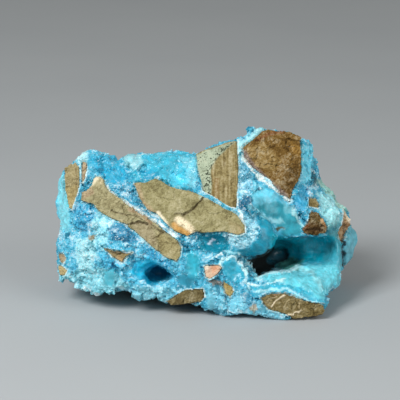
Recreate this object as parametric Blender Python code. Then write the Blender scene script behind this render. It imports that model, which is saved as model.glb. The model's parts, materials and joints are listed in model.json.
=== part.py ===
# A hand specimen of blue hemimorphite that cements angular pieces of brown host rock.
#
# The specimen is drawn as its front shows it, in millimetres: across to the right, up, and out
# towards the viewer. It is then leaned back to the attitude in which it rests on its own lumps.

import math
import random

import bpy
import bmesh
from mathutils import Matrix, Vector, noise
from mathutils.bvhtree import BVHTree
from mathutils.geometry import delaunay_2d_cdt

mm = 0.001

# Driving dimensions, in millimetres and degrees
leanBack = 15.0          # how far the drawn front leans back when the specimen rests
tableLevel = -31.3       # height of the resting plane in the leaned frame
frontOrigin = (0.0, -2.0)
backDepth = -33.0        # how far the hidden back lies behind the drawing plane
pocketGap = 0.35         # clearance between a rock piece and the crust around it
rockProud = 0.5          # how far a rock face stands proud of the crust
crustVoxel = 1.2         # grain of the crust while it is being shaped
crustFaces = 5000        # faces of the crust before the rock pockets are cut

# The outline of the specimen, clockwise from the upper left: across, up, out
outline = [
    (-61.0, 25.0, 4), (-56.5, 28.0, 6), (-54.5, 31.0, 6), (-50.0, 32.5, 5), (-45.0, 30.5, 5),
    (-41.5, 28.5, 6), (-36.5, 27.0, 6), (-36.0, 30.0, 3), (-30.5, 30.5, 4), (-21.5, 31.5, 4),
    (-13.5, 31.5, 4), (-8.5, 30.5, 6), (-4.5, 29.5, 12), (0.5, 32.0, 12.5), (7.0, 34.0, 13),
    (12.5, 35.5, 12.5), (16.0, 38.0, 9), (18.0, 39.5, 8), (21.0, 41.5, 8), (25.0, 40.2, 11),
    (30.0, 39.6, 11), (35.5, 39.0, 11), (40.0, 37.0, 9), (45.5, 37.0, 4), (46.0, 32.5, 3),
    (44.5, 27.5, 4), (46.0, 22.0, 3), (49.5, 19.0, 0), (54.5, 15.5, -4), (57.0, 11.0, -5),
    (61.5, 6.5, -4), (63.5, 1.5, -3), (65.0, -4.0, -5), (65.0, -8.5, -6), (63.0, -15.5, -4),
    (58.0, -21.5, 4), (57.0, -25.5, 12), (53.0, -28.5, 20), (50.5, -30.5, 25), (50.0, -36.0, 27),
    (44.5, -39.0, 28), (36.5, -39.5, 29), (27.5, -41.0, 29.5), (18.5, -38.5, 28), (10.0, -38.0, 27),
    (2.5, -36.5, 25.5), (-2.0, -35.0, 25), (-8.5, -33.5, 24.5), (-16.0, -34.0, 23.5),
    (-18.5, -31.0, 22), (-22.5, -32.0, 21), (-30.5, -31.0, 20), (-33.5, -27.5, 21),
    (-38.0, -27.5, 21), (-43.5, -28.5, 20), (-47.0, -30.0, 18), (-51.5, -28.5, 16),
    (-57.5, -25.0, 11), (-63.5, -22.5, 7), (-64.5, -16.0, 6), (-65.0, -9.5, 4), (-63.5, -2.0, 4),
    (-65.0, 8.5, 3), (-64.5, 17.5, 3),
]

# Rock pieces of the front: the outline of each face, the height of its face at the middle with
# its slope to the right and upwards, and how deep it reaches into the crust
frontRocks = {
    "rock_left_fin": {
        "face": (13.0, 0.45, -0.05), "depth": 8.0,
        "rim": [(-60.7, 24.2), (-56.7, 26.6), (-55.0, 24.5), (-54.8, 16.5), (-55.6, 12.5),
                (-57.5, 6.8), (-58.7, 7.6), (-60.2, 13.0), (-61.0, 19.5)],
    },
    "rock_small_sliver": {
        "face": (14.0, 0.3, -0.2), "depth": 5.0,
        "rim": [(-53.0, 27.0), (-51.9, 26.4), (-51.5, 23.0), (-52.0, 19.5), (-53.0, 18.0),
                (-53.3, 22.5)],
    },
    "rock_long_diagonal": {
        "face": (22.0, 0.10, -0.12), "depth": 9.0,
        "rim": [(-47.5, 20.5), (-44.5, 20.0), (-43.5, 16.5), (-41.5, 14.0), (-37.0, 11.0),
                (-31.5, 6.5), (-25.5, 3.0), (-21.0, 0.0), (-16.5, -4.0), (-13.0, -6.5),
                (-11.0, -9.5), (-11.5, -13.0), (-13.0, -15.0), (-17.5, -13.0), (-22.5, -9.5),
                (-28.0, -4.5), (-33.5, 0.0), (-39.0, 2.5), (-44.5, 5.0), (-48.5, 9.0),
                (-53.5, 10.5), (-53.0, 13.5), (-49.5, 16.0)],
    },
    "rock_centre_slab": {
        "face": (25.0, 0.16, -0.10), "depth": 10.0,
        "rim": [(-31.0, 18.0), (-26.5, 18.0), (-22.0, 19.5), (-19.5, 18.5), (-15.5, 16.0),
                (-8.5, 14.5), (-2.0, 12.5), (1.5, 10.5), (7.0, 7.0), (12.5, 4.5), (15.5, 0.0),
                (16.0, -3.0), (13.0, -4.0), (7.5, -2.5), (-1.5, -3.0), (-5.0, -2.5),
                (-8.5, -4.5), (-13.5, -2.0), (-17.5, 1.0), (-21.0, 5.0), (-25.5, 7.0),
                (-28.0, 10.5), (-29.5, 14.0)],
    },
    "rock_banded": {
        "face": (19.0, 0.12, -0.42), "depth": 10.0,
        "rim": [(12.9, 36.1), (13.0, 19.5), (12.5, 7.0), (10.0, 7.2), (6.5, 9.4), (2.5, 12.0),
                (0.5, 12.8), (-1.5, 14.0), (-2.2, 18.5), (-3.6, 24.0), (-4.6, 30.2),
                (0.5, 32.7), (7.0, 34.7)],
    },
    "rock_top_brown": {
        "face": (14.8, -0.12, -0.25), "depth": 12.0,
        "rim": [(15.2, 33.0), (20.0, 36.5), (25.0, 40.8), (30.0, 40.2), (35.5, 39.6),
                (40.0, 37.4), (40.0, 28.5), (39.5, 22.0), (38.7, 18.5), (36.5, 15.0),
                (35.5, 10.7), (31.0, 13.5), (27.5, 18.5), (23.0, 22.0), (18.5, 25.5),
                (15.5, 30.0)],
    },
    "rock_right_chip": {
        "face": (11.5, -0.3, -0.3), "depth": 4.0,
        "rim": [(43.2, 11.2), (46.8, 11.2), (47.8, 8.8), (47.3, 7.2), (43.2, 7.8)],
    },
    "rock_rusty_wedge": {
        "face": (16.5, -0.15, -0.2), "depth": 6.0,
        "rim": [(44.7, 5.6), (47.5, 4.8), (49.5, 1.5), (51.0, -1.0), (50.5, -3.5),
                (46.5, -4.0), (41.5, -3.0), (41.0, -2.0), (43.0, 0.5)],
    },
    "rock_shoulder_seam": {
        "face": (3.0, -0.7, 0.0), "depth": 7.0,
        "rim": [(58.8, 6.6), (61.3, 2.6), (62.2, 0.0), (60.2, -2.0), (59.0, -6.5),
                (57.8, -9.5), (56.3, -6.0), (55.7, -3.0), (57.8, -0.5), (58.6, 2.6)],
    },
    "rock_veined_eye": {
        "face": (30.8, -0.06, 0.22), "depth": 10.0,
        "rim": [(22.7, -30.5), (25.0, -29.2), (32.0, -28.7), (36.5, -30.0), (41.0, -32.0),
                (49.3, -33.6), (49.6, -36.0), (48.5, -37.6), (44.5, -38.6), (36.5, -38.8),
                (34.5, -37.8), (30.0, -36.0), (26.0, -35.0), (24.0, -33.0)],
    },
    "rock_lower_wedge": {
        "face": (25.6, 0.1, 0.2), "depth": 8.0,
        "rim": [(-16.6, -32.2), (-13.0, -30.0), (-8.5, -27.7), (-1.7, -26.7), (-1.2, -30.0),
                (-3.0, -32.3), (-8.5, -33.0), (-15.2, -33.6)],
    },
    "rock_bean": {
        "face": (29.0, 0.0, 0.1), "depth": 5.0,
        "rim": [(7.0, -23.7), (10.0, -26.0), (11.1, -28.0), (10.0, -30.0), (8.2, -29.0),
                (7.0, -26.5)],
    },
    "rock_pink_tan": {
        "face": (28.2, 0.0, -0.1), "depth": 5.0,
        "rim": [(-1.0, -17.5), (5.0, -17.0), (6.0, -18.0), (4.0, -20.5), (1.0, -22.5),
                (-0.5, -21.5)],
    },
    "rock_left_triangle": {
        "face": (26.0, 0.1, 0.0), "depth": 5.0,
        "rim": [(-43.5, -10.0), (-37.0, -11.3), (-31.5, -11.5), (-34.3, -13.3), (-36.0, -15.5),
                (-39.5, -13.2)],
    },
    "rock_edge_upper": {
        "face": (9.5, 0.5, 0.0), "depth": 5.0,
        "rim": [(-63.6, -12.8), (-61.0, -12.8), (-60.0, -14.8), (-61.5, -16.6),
                (-63.2, -15.0)],
    },
    "rock_edge_lower": {
        "face": (10.0, 0.5, 0.2), "depth": 5.0,
        "rim": [(-63.8, -17.8), (-61.5, -18.3), (-59.5, -19.6), (-61.0, -21.2), (-63.2, -21.4)],
    },
}

# Relief of the front between the rock pieces: across, up, out
relief = [
    # the upper left corner and the smooth step behind it
    (-47.0, 26.0, 14), (-41.0, 24.5, 13), (-37.5, 24.5, 12), (-35.0, 25.5, 9), (-30.0, 25.5, 12),
    (-20.0, 25.5, 14), (-11.0, 24.0, 14.5), (-6.5, 21.0, 15), (-33.5, 18.5, 15),
    (-26.0, 20.5, 15.5), (-19.0, 20.5, 15), (-13.0, 18.0, 16), (-5.0, 16.0, 17.5),
    # the left flank
    (-50.5, 15.0, 17), (-58.0, 1.0, 13), (-61.0, -5.0, 9), (-50.0, 1.0, 19.5), (-45.0, -5.0, 23.5),
    (-52.0, -9.0, 19.5), (-58.5, -10.0, 13), (-45.5, -13.0, 24), (-38.0, -6.0, 24.5),
    (-30.0, -9.0, 26), (-25.0, -13.0, 26.5), (-40.0, -20.0, 24), (-50.0, -20.0, 19),
    (-56.5, -18.0, 13.5), (-33.0, -19.5, 24.5), (-45.0, -25.5, 21.5), (-55.0, -23.5, 14),
    (-37.0, -25.0, 22.5),
    # the furrow between the long diagonal piece and the centre slab
    (-40.0, 19.0, 15.5), (-36.0, 15.5, 17.5), (-31.0, 11.0, 18.5), (-27.0, 6.0, 20.0),
    (-20.0, 1.5, 21.5), (-14.0, -3.5, 23.0), (-10.0, -7.5, 24.0),
    # below the centre slab: the dark small hollow and the two smooth windows
    (-4.0, -6.0, 21.5), (0.0, -7.5, 19.5), (4.5, -8.5, 19.5), (9.0, -7.0, 22.5), (-7.0, -11.0, 26),
    (-3.0, -12.5, 27), (5.0, -12.5, 27.5), (-7.0, -17.0, 24.5), (-3.5, -17.0, 27),
    (-11.0, -19.0, 25.5), (-4.0, -22.5, 26.5), (10.0, -13.5, 28.5), (15.0, -17.0, 28.0),
    (10.5, -19.5, 26.5), (16.0, -23.0, 29.0), (6.0, -23.0, 29.0),
    # the foot of the front
    (3.0, -26.5, 28.5), (-4.0, -25.0, 26.5), (4.0, -31.0, 28.0), (0.0, -33.5, 27.0),
    (8.0, -33.5, 29.0), (13.0, -28.0, 30.0), (15.0, -34.0, 30.0), (20.0, -29.5, 31.0),
    (20.0, -36.0, 30.5), (27.0, -38.5, 31.0), (-20.0, -28.5, 23.5),
    # the left hollow
    (-28.0, -17.0, 22), (-31.0, -20.0, 23),
    # the large hollow: its deep left end, its wall and its floor
    (19.5, -15.0, 10), (21.0, -18.5, 10), (23.5, -14.5, -4), (27.0, -12.0, -6), (24.5, -17.5, 0),
    (28.0, -16.0, 4), (33.0, -15.5, 7), (31.0, -10.0, 3), (39.0, -10.0, 2), (47.0, -10.0, 3),
    (53.5, -10.5, 6), (40.0, -15.0, 8), (48.0, -15.0, 10), (54.0, -16.0, 11), (45.0, -19.5, 16),
    (51.0, -20.0, 17), (49.0, -23.5, 22), (30.0, -23.5, 29), (37.5, -24.0, 28), (53.0, -24.5, 21),
    # its lower lip
    (18.5, -25.0, 30.0), (25.0, -25.8, 31.0), (33.0, -26.8, 32.0), (42.0, -28.0, 31.5),
    # the faces right of the banded piece and below the brown one
    (14.5, 20.0, 18.5), (14.5, 10.0, 23), (16.5, 24.0, 17.5), (17.0, 15.0, 20), (22.0, 17.0, 17.5),
    (19.0, 8.0, 22), (25.0, 12.0, 18), (14.5, 4.5, 25.5), (18.0, 1.5, 26), (25.0, 6.0, 18.5),
    (30.0, 9.0, 17.5), (31.0, 3.5, 16.5), (36.0, 4.5, 17.5), (38.5, 0.0, 17.5), (33.5, -2.0, 17),
    (29.0, -1.0, 14.5),
    (40.5, 8.5, 15), (41.0, 13.0, 12),
    # the upright blue band and the right shoulder
    (42.5, 33.0, 7), (43.0, 27.0, 7), (42.0, 20.0, 9), (45.0, 15.5, 7), (49.0, 14.0, 3),
    (51.0, 10.0, 5), (54.5, 9.5, 1), (52.0, 4.5, 10), (54.0, -1.5, 12), (57.0, 2.0, 6),
    (61.0, -5.0, 2), (61.5, -12.0, 2), (60.0, -18.0, 2),
]

# Lines that the relief keeps as sharp edges or steps: across, up, out
creases = {
    "lip ridge": [(20.5, -22.6, 28.5), (23.5, -21.3, 28.0), (27.0, -19.9, 27.0), (32.5, -20.4, 26.0),
                  (38.5, -21.4, 24.5), (44.0, -22.6, 24.0)],
    "behind the ridge": [(22.3, -20.3, 3), (27.0, -18.2, 5), (32.5, -18.8, 11), (38.5, -19.6, 15)],
    "roof edge": [(29.5, -4.7, 16.5), (34.0, -5.1, 18.5), (39.5, -5.3, 18.5), (46.0, -5.2, 17.5),
                  (52.0, -5.0, 15), (56.0, -4.0, 11)],
    "under the roof": [(30.0, -6.6, 6), (34.5, -6.7, 4), (40.0, -6.9, 3), (46.5, -6.8, 4),
                       (52.5, -6.7, 5), (56.3, -6.5, 8)],
    "right rim": [(57.0, -7.5, 11), (57.3, -11.0, 12), (57.2, -16.0, 13), (56.8, -21.0, 14)],
    "behind the rim": [(58.4, -8.0, 1), (58.7, -12.0, 0), (58.6, -16.5, 0), (58.1, -20.5, 3)],
    "left hollow, upper rim": [(-24.5, -13.4, 26.5), (-19.0, -16.7, 25.5), (-14.0, -20.6, 24.5),
                               (-11.0, -23.6, 24)],
    "left hollow, under the rim": [(-24.5, -15.2, 21), (-19.5, -18.3, 13), (-15.0, -21.8, 14)],
    "left hollow, floor": [(-29.5, -21.3, 21), (-25.0, -22.3, 14), (-20.0, -23.0, 12),
                           (-16.0, -23.6, 16)],
    "left hollow, lower rim": [(-32.0, -23.3, 23.5), (-26.0, -24.6, 24), (-19.0, -25.2, 24),
                               (-13.5, -25.2, 24)],
}

# Round lumps: across, up, out, radius, and how flat each is along out
lumps = [
    (20.4, -5.3, 22.3, 9.0, 1.0),     # the glossy lobe over the large hollow
    (14.0, -9.6, 22.0, 4.6, 1.0),     # its rounded edge to the left
    (58.2, -9.5, -3.0, 6.9, 1.1),     # the smooth lump behind the right seam
    (21.3, 38.0, 6.0, 4.6, 1.0),      # the peak
    (-49.5, 26.0, 3.0, 6.3, 1.2),     # the upper left corner
    (-27.0, 24.0, 2.0, 7.0, 1.5),     # the step behind the centre slab
    (-14.0, 24.0, 3.0, 7.0, 1.5),
    (-59.0, -3.0, -6.0, 6.0, 2.0),    # the left end
    (-58.0, 12.0, -8.0, 7.0, 2.0),
    (43.0, 24.0, -4.0, 4.5, 2.0),     # behind the upright blue band
    (30.0, 20.0, -24.0, 13.0, 0.8),   # the hidden back
    (-10.0, 8.0, -25.0, 14.0, 0.8),
    (-42.0, 2.0, -22.0, 13.0, 0.8),
    (12.0, -12.0, -26.0, 11.0, 0.8),
]

# Round hollows cut from the crust: across, up, out, and the half sizes along the three
hollows = [
    (21.8, -18.4, 12.0, 4.6, 4.2, 17.0),     # the dark lower left corner
    (27.0, -15.9, 6.0, 6.5, 4.4, 17.0),      # under the lobe
    (32.5, -12.4, 3.0, 9.5, 6.6, 10.5),      # the dark middle, reaching behind the lobe
    (42.0, -10.2, 9.0, 13.5, 7.4, 9.0),      # under the roof
]

# The left hollow, a notch with flat walls: its mouth, its inner end, and how far out each lies
notchMouth = [(-24.5, -14.0), (-10.5, -23.2), (-18.0, -25.4), (-28.0, -25.0), (-34.0, -19.6)]
notchEnd = [(-20.5, -18.0), (-14.5, -22.2), (-18.5, -23.6), (-23.5, -23.2), (-24.5, -20.2)]
notchReach = (25.5, 7.0)

# Feet on which the specimen rests: across, out, radius
feet = [(27.0, 25.0, 6.0), (8.0, 21.0, 5.0), (-40.0, -15.0, 7.0), (-22.0, -24.0, 5.5), (42.0, -17.0, 7.0)]

# Outlines of broken pieces for the sides that the front view hides, in shares of half a length
brokenShapes = {
    "slab": [(-1.0, -0.30), (-0.62, -0.56), (0.10, -0.44), (0.70, -0.52), (1.0, -0.12),
             (0.55, 0.30), (-0.05, 0.42), (-0.55, 0.62), (-0.86, 0.36)],
    "wedge": [(-1.0, -0.42), (-0.20, -0.62), (0.45, -0.34), (1.0, 0.34), (0.30, 0.52),
              (-0.45, 0.26)],
    "shard": [(-1.0, -0.10), (-0.40, -0.30), (0.35, -0.22), (1.0, -0.34), (0.72, 0.08),
              (0.05, 0.20), (-0.60, 0.30)],
    "block": [(-0.86, -0.62), (0.02, -0.80), (0.80, -0.52), (0.92, 0.20), (0.36, 0.74),
              (-0.34, 0.56), (-0.96, 0.30)],
}

# Rock pieces on the hidden sides: the direction in which each is found from the middle of the
# specimen (across, up, out), its shape, its half length and its turn in degrees
hiddenRocks = {
    "rock_back_slab": ((0.12, 0.30, -1.0), "slab", 18.0, 62),
    "rock_back_upper_left": ((-0.85, 0.50, -1.0), "block", 10.5, 70),
    "rock_back_left": ((-1.25, -0.05, -1.0), "shard", 13.0, 150),
    "rock_back_right": ((1.25, 0.10, -0.9), "wedge", 11.0, 100),
    "rock_back_low_right": ((0.75, -0.42, -1.0), "shard", 10.0, 20),
    "rock_top_left": ((-0.95, 1.0, -0.74), "slab", 10.5, 15),
    "rock_top_middle": ((-0.34, 1.0, -1.15), "wedge", 8.5, 80),
    "rock_top_right": ((0.82, 1.2, -0.75), "block", 9.0, 120),
    "rock_left_end": ((-1.0, 0.05, -0.36), "wedge", 9.0, 60),
    "rock_right_end": ((1.0, -0.16, -0.40), "block", 7.5, 50),
    "rock_right_upper": ((1.0, 0.40, -0.30), "shard", 9.0, 140),
    "rock_underside_left": ((-0.95, -1.0, -0.25), "slab", 11.0, 30),
    "rock_underside_right": ((0.45, -1.0, 0.05), "wedge", 10.0, 100),
}
hiddenSeed = 5
hiddenRough = 0.7        # unevenness of their faces
hiddenDepth = 8.0        # the deepest that one reaches into the crust

# How the crust has broken
hiddenFrom = 4.0         # crust further back than this is out of the front view
hiddenBlend = 12.0       # over this distance the front passes into the hidden sides
blockSize = 13.0         # size of the blocks into which the crust has broken
blockTilt = 0.55         # how steeply their faces tilt
blockStep = 2.2          # how far they step
tiltShifts = (Vector((0.0, 0.0, 0.0)), Vector((17.3, 4.1, 9.7)), Vector((5.9, 23.7, 12.3)))
swell = 0.8              # slow rise and fall between the blocks
chipHeight = 0.5         # height of the small chips
thinFront = 0.5          # how far the front is spared when the crust is thinned
footSink = 0.80          # share of its radius at which a foot's ball stands above the table

# How a rock piece is made and set in the crust
gridSpacing = 4.5        # spacing of the points that shape a rock's face
sideRings = ((0.4, 0.97), (1.0, 0.74))   # depth and size of a rock's sides
pocketReach = 7.0        # how far a pocket is kept open in front of its rock
seatMargin = 4.5         # width of the crust that is flattened around a hidden rock
seatDepth = 7.0          # crust further than this from a hidden rock's face is left alone
crackStep = 0.9          # height of the step at a crack
crackWidth = 1.2
slabCrack = ((-13.5, 3.5), (0.0, 13.0))
diagonalCrack = ((-34.0, 4.5), (-24.0, -4.5))
rindEdge = ((1.5, 8.0), (10.0, 38.0))
rindDrop = 0.8           # how far the speckled rind lies below the banded face
bandWidth = 3.3
bandHeight = 0.3
commonRough = 0.5
roughFaces = {"rock_top_brown": 1.6, "rock_rusty_wedge": 1.8, "rock_shoulder_seam": 1.2,
              "rock_veined_eye": 0.9, "rock_long_diagonal": 0.8}

rockColours = {
    "rock_top_brown": (0.215, 0.142, 0.060),
    "rock_rusty_wedge": (0.215, 0.142, 0.060),
    "rock_shoulder_seam": (0.190, 0.110, 0.055),
    "rock_pink_tan": (0.420, 0.270, 0.180),
}
commonRockColour = (0.330, 0.285, 0.165)
crustColour = (0.055, 0.420, 0.600)


def clearScene():
    for thing in list(bpy.data.objects):
        bpy.data.objects.remove(thing, do_unlink=True)


def makeMaterial(name, colour, roughness):
    material = bpy.data.materials.new(name)
    material.use_nodes = True
    shader = material.node_tree.nodes["Principled BSDF"]
    shader.inputs["Base Color"].default_value = (*colour, 1.0)
    shader.inputs["Roughness"].default_value = roughness
    shader.inputs["Metallic"].default_value = 0.0
    return material


def makeObject(name, bm):
    mesh = bpy.data.meshes.new(name)
    bm.to_mesh(mesh)
    bm.free()
    thing = bpy.data.objects.new(name, mesh)
    bpy.context.scene.collection.objects.link(thing)
    return thing


def applyModifiers(thing):
    evaluated = thing.evaluated_get(bpy.context.evaluated_depsgraph_get())
    mesh = bpy.data.meshes.new_from_object(evaluated)
    thing.modifiers.clear()
    thing.data = mesh


def cut(thing, cutter):
    change = thing.modifiers.new("cut", "BOOLEAN")
    change.operation = "DIFFERENCE"
    change.use_self = True
    change.object = cutter
    applyModifiers(thing)
    bpy.data.objects.remove(cutter, do_unlink=True)


def keepLargestBody(thing):
    bm = bmesh.new()
    bm.from_mesh(thing.data)
    left = set(bm.verts)
    bodies = []
    while left:
        queue = [left.pop()]
        body = set(queue)
        while queue:
            for edge in queue.pop().link_edges:
                for vertex in edge.verts:
                    if vertex in left:
                        left.remove(vertex)
                        body.add(vertex)
                        queue.append(vertex)
        bodies.append(body)
    bodies.sort(key=len)
    scraps = [vertex for body in bodies[:-1] for vertex in body]
    bmesh.ops.delete(bm, geom=scraps, context="VERTS")
    bm.to_mesh(thing.data)
    bm.free()


def tableUp(out):
    """The height of the resting plane in the drawing, at a distance out."""
    lean = math.radians(leanBack)
    return (tableLevel - out * math.sin(lean)) / math.cos(lean)


def middleOf(points):
    return Vector((sum(p[0] for p in points) / len(points), sum(p[1] for p in points) / len(points)))


def faceHeight(rock, across, up):
    middle = middleOf(rock["rim"])
    height, slopeAcross, slopeUp = rock["face"]
    return height + slopeAcross * (across - middle.x) + slopeUp * (up - middle.y)


def frontPoints():
    """Every point of the front relief, the loop around it and the edges that it keeps."""
    points = list(outline)
    loops = [list(range(len(outline)))]
    for rock in frontRocks.values():
        start = len(points)
        for across, up in rock["rim"]:
            points.append((across, up, faceHeight(rock, across, up) - rockProud))
        loops.append(list(range(start, len(points))))
    edges = [(loop[i - 1], loop[i]) for loop in loops[1:] for i in range(len(loop))]
    for line in creases.values():
        start = len(points)
        points.extend(line)
        edges += [(i, i + 1) for i in range(start, len(points) - 1)]
    points.extend(relief)
    return points, loops[0], edges


def shapeFront():
    """The relief of the front as a sheet of triangles."""
    points, border, edges = frontPoints()
    flat = [Vector(point[:2]) for point in points]
    found = delaunay_2d_cdt(flat, edges, [border], 1, 0.01)
    places, triangles, sources = found[0], found[2], found[3]
    bm = bmesh.new()
    for place, source in zip(places, sources):
        out = points[source[0]][2] if source else nearestOut(place, points)
        bm.verts.new((place.x, place.y, out))
    bm.verts.ensure_lookup_table()
    for triangle in triangles:
        bm.faces.new([bm.verts[i] for i in triangle])
    bmesh.ops.delete(bm, geom=[v for v in bm.verts if not v.link_faces], context="VERTS")
    return bm


def nearestOut(place, points):
    return min(points, key=lambda p: (p[0] - place.x) ** 2 + (p[1] - place.y) ** 2)[2]


def closeBack(bm):
    """Draws the rim of the front backwards in rings, each smaller and closer to the back."""
    centre = Vector(frontOrigin)
    rings = [(0.25, 0.985), (0.55, 0.95), (0.82, 0.84), (0.96, 0.62), (1.0, 0.32)]
    rim = [edge for edge in bm.edges if edge.is_boundary]
    starts = {vertex: vertex.co.copy() for edge in rim for vertex in edge.verts}
    for share, width in rings:
        made = bmesh.ops.extrude_edge_only(bm, edges=rim)["geom"]
        rim = [item for item in made if isinstance(item, bmesh.types.BMEdge) and item.is_boundary]
        fresh = [item for item in made if isinstance(item, bmesh.types.BMVert)]
        starts = {vertex: nearestStart(vertex, starts) for vertex in fresh}
        for vertex, start in starts.items():
            out = start.z + share * (backDepth - start.z)
            wobble = noise.noise(Vector((start.x, start.y, out)) * 0.06 + Vector((7.0, 1.0, 3.0)))
            size = width * (1.0 + 0.10 * wobble * share)
            across = centre.x + size * (start.x - centre.x)
            up = centre.y + size * (start.y - centre.y)
            floor = tableUp(out) + 3.0 + 1.5 * wobble
            vertex.co = (across, max(up, floor), out + 4.0 * wobble * share)
    bmesh.ops.holes_fill(bm, edges=rim, sides=0)
    bmesh.ops.triangulate(bm, faces=[face for face in bm.faces if len(face.verts) > 3])
    bmesh.ops.recalc_face_normals(bm, faces=bm.faces)


def nearestStart(vertex, starts):
    """The rim point of the outline from which an extruded point was drawn."""
    for edge in vertex.link_edges:
        other = edge.other_vert(vertex)
        if other in starts:
            return starts[other]
    raise ValueError("an extruded point has no start")


def addBall(bm, centre, sizes, detail):
    place = Matrix.Translation(centre) @ Matrix.Diagonal((*sizes, 1.0))
    bmesh.ops.create_icosphere(bm, subdivisions=detail, radius=1.0, matrix=place)


def addLumpsAndFeet(bm):
    for across, up, out, radius, flat in lumps:
        addBall(bm, (across, up, out), (radius, radius, radius * flat), 3)
    for across, out, radius in feet:
        addBall(bm, (across, tableUp(out) + radius * footSink, out), (radius, radius, radius), 3)


def notchSolid():
    bm = bmesh.new()
    rings = []
    for points, out in zip((notchMouth, notchEnd), notchReach):
        rings.append([bm.verts.new((across, up, out)) for across, up in points])
    bm.faces.new(rings[0])
    bm.faces.new(rings[1])
    for i in range(len(notchMouth)):
        bm.faces.new((rings[0][i - 1], rings[0][i], rings[1][i], rings[1][i - 1]))
    bmesh.ops.recalc_face_normals(bm, faces=bm.faces)
    return makeObject("notch", bm)


def remesh(thing, voxel):
    change = thing.modifiers.new("remesh", "REMESH")
    change.mode = "VOXEL"
    change.voxel_size = voxel
    applyModifiers(thing)


def roughen(thing):
    """Gives the crust its broken faces: blocks that step and tilt against each other, less in
    front than behind, and small chips over all."""
    moved = []
    for vertex in thing.data.vertices:
        place = vertex.co.copy()
        distances, centres = noise.voronoi(place / blockSize)
        tilt = tiltOf(centres[0])
        block = (place - centres[0] * blockSize).dot(tilt) * blockTilt
        ledge = noise.noise(centres[0] * 5.1) * blockStep
        rise = noise.noise(place * 0.11) * swell
        chip = (distances[1] - distances[0]) * chipHeight
        share = 0.3 + 0.7 * hiddenShare(place)
        moved.append(place + vertex.normal * ((block + ledge) * share + rise + chip))
    for vertex, place in zip(thing.data.vertices, moved):
        vertex.co = place


def tiltOf(centre):
    """The way in which the block around a centre leans, the same on each run."""
    return Vector([noise.noise(centre * 3.7 + shift) for shift in tiltShifts])


def hiddenShare(place):
    """0 on the front that is drawn, 1 on the sides behind it."""
    return min(max((hiddenFrom - place.z) / hiddenBlend, 0.0), 1.0)


def thin(thing, faces):
    """Thins a mesh to a number of triangles, and the hidden sides more than the front."""
    group = thing.vertex_groups.new(name="hidden")
    for vertex in thing.data.vertices:
        group.add([vertex.index], 1.0 - thinFront * (1.0 - hiddenShare(vertex.co)), "REPLACE")
    change = thing.modifiers.new("thin", "DECIMATE")
    change.ratio = faces / sum(len(polygon.vertices) - 2 for polygon in thing.data.polygons)
    change.vertex_group = group.name
    applyModifiers(thing)


def shapeCrust():
    bm = shapeFront()
    closeBack(bm)
    addLumpsAndFeet(bm)
    crust = makeObject("hemimorphite", bm)
    remesh(crust, crustVoxel)
    for across, up, out, *sizes in hollows:
        ball = bmesh.new()
        addBall(ball, (across, up, out), sizes, 3)
        cut(crust, makeObject("hollow", ball))
    cut(crust, notchSolid())
    remesh(crust, crustVoxel)
    roughen(crust)
    remesh(crust, crustVoxel)
    keepLargestBody(crust)
    return crust


def gridInside(rim, spacing):
    """Points on a grid inside an outline, clear of its edge."""
    points = []
    low = (min(p[0] for p in rim), min(p[1] for p in rim))
    high = (max(p[0] for p in rim), max(p[1] for p in rim))
    row = low[1] + spacing / 2
    while row < high[1]:
        column = low[0] + spacing / 2
        while column < high[0]:
            if isInside((column, row), rim) and edgeDistance((column, row), rim) > spacing * 0.35:
                points.append((column, row))
            column += spacing
        row += spacing
    return points


def isInside(point, rim):
    inside = False
    for i, (x, y) in enumerate(rim):
        px, py = rim[i - 1]
        if (y > point[1]) != (py > point[1]):
            if point[0] < (px - x) * (point[1] - y) / (py - y) + x:
                inside = not inside
    return inside


def edgeDistance(point, rim):
    best = math.inf
    spot = Vector(point)
    for i, corner in enumerate(rim):
        start, end = Vector(rim[i - 1]), Vector(corner)
        along = (spot - start).dot(end - start) / max((end - start).length_squared, 1e-9)
        best = min(best, (spot - start.lerp(end, min(max(along, 0.0), 1.0))).length)
    return best


def grownRim(rim, amount):
    """The outline moved outwards by an amount, corner by corner."""
    area = sum(rim[i - 1][0] * rim[i][1] - rim[i][0] * rim[i - 1][1] for i in range(len(rim)))
    side = 1.0 if area > 0 else -1.0
    grown = []
    for i, corner in enumerate(rim):
        before = (Vector(corner) - Vector(rim[i - 1])).normalized()
        after = (Vector(rim[(i + 1) % len(rim)]) - Vector(corner)).normalized()
        first = Vector((before.y, -before.x)) * side
        second = Vector((after.y, -after.x)) * side
        push = first + second
        push *= amount / max(push.dot(first), 0.6)
        grown.append((corner[0] + push.x, corner[1] + push.y))
    return grown


def rockSolid(name, rim, height, depth, bumps):
    """A broken piece of rock: an uneven face on its outline, narrowing to a flat inner end."""
    middle = middleOf(rim)
    inner = gridInside(rim, gridSpacing)
    flat = [Vector(point) for point in rim + inner]
    found = delaunay_2d_cdt(flat, [], [list(range(len(rim)))], 1, 0.001)
    bm = bmesh.new()
    face = {}
    for place, source in zip(found[0], found[3]):
        out = height(place.x, place.y) + bumps(place.x, place.y)
        face[source[0]] = bm.verts.new((place.x, place.y, out))
    order = [source[0] for source in found[3]]
    for triangle in found[2]:
        bm.faces.new([face[order[i]] for i in triangle])
    ring = [face[i] for i in range(len(rim))]
    for reach, size in sideRings:
        fresh = []
        for across, up in rim:
            place = middle + (Vector((across, up)) - middle) * size
            fresh.append(bm.verts.new((place.x, place.y, height(across, up) - depth * reach)))
        for i in range(len(rim)):
            bm.faces.new((ring[i - 1], ring[i], fresh[i], fresh[i - 1]))
        ring = fresh
    bm.faces.new(ring)
    bmesh.ops.triangulate(bm, faces=bm.faces)
    bmesh.ops.recalc_face_normals(bm, faces=bm.faces)
    return makeObject(name, bm)


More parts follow.
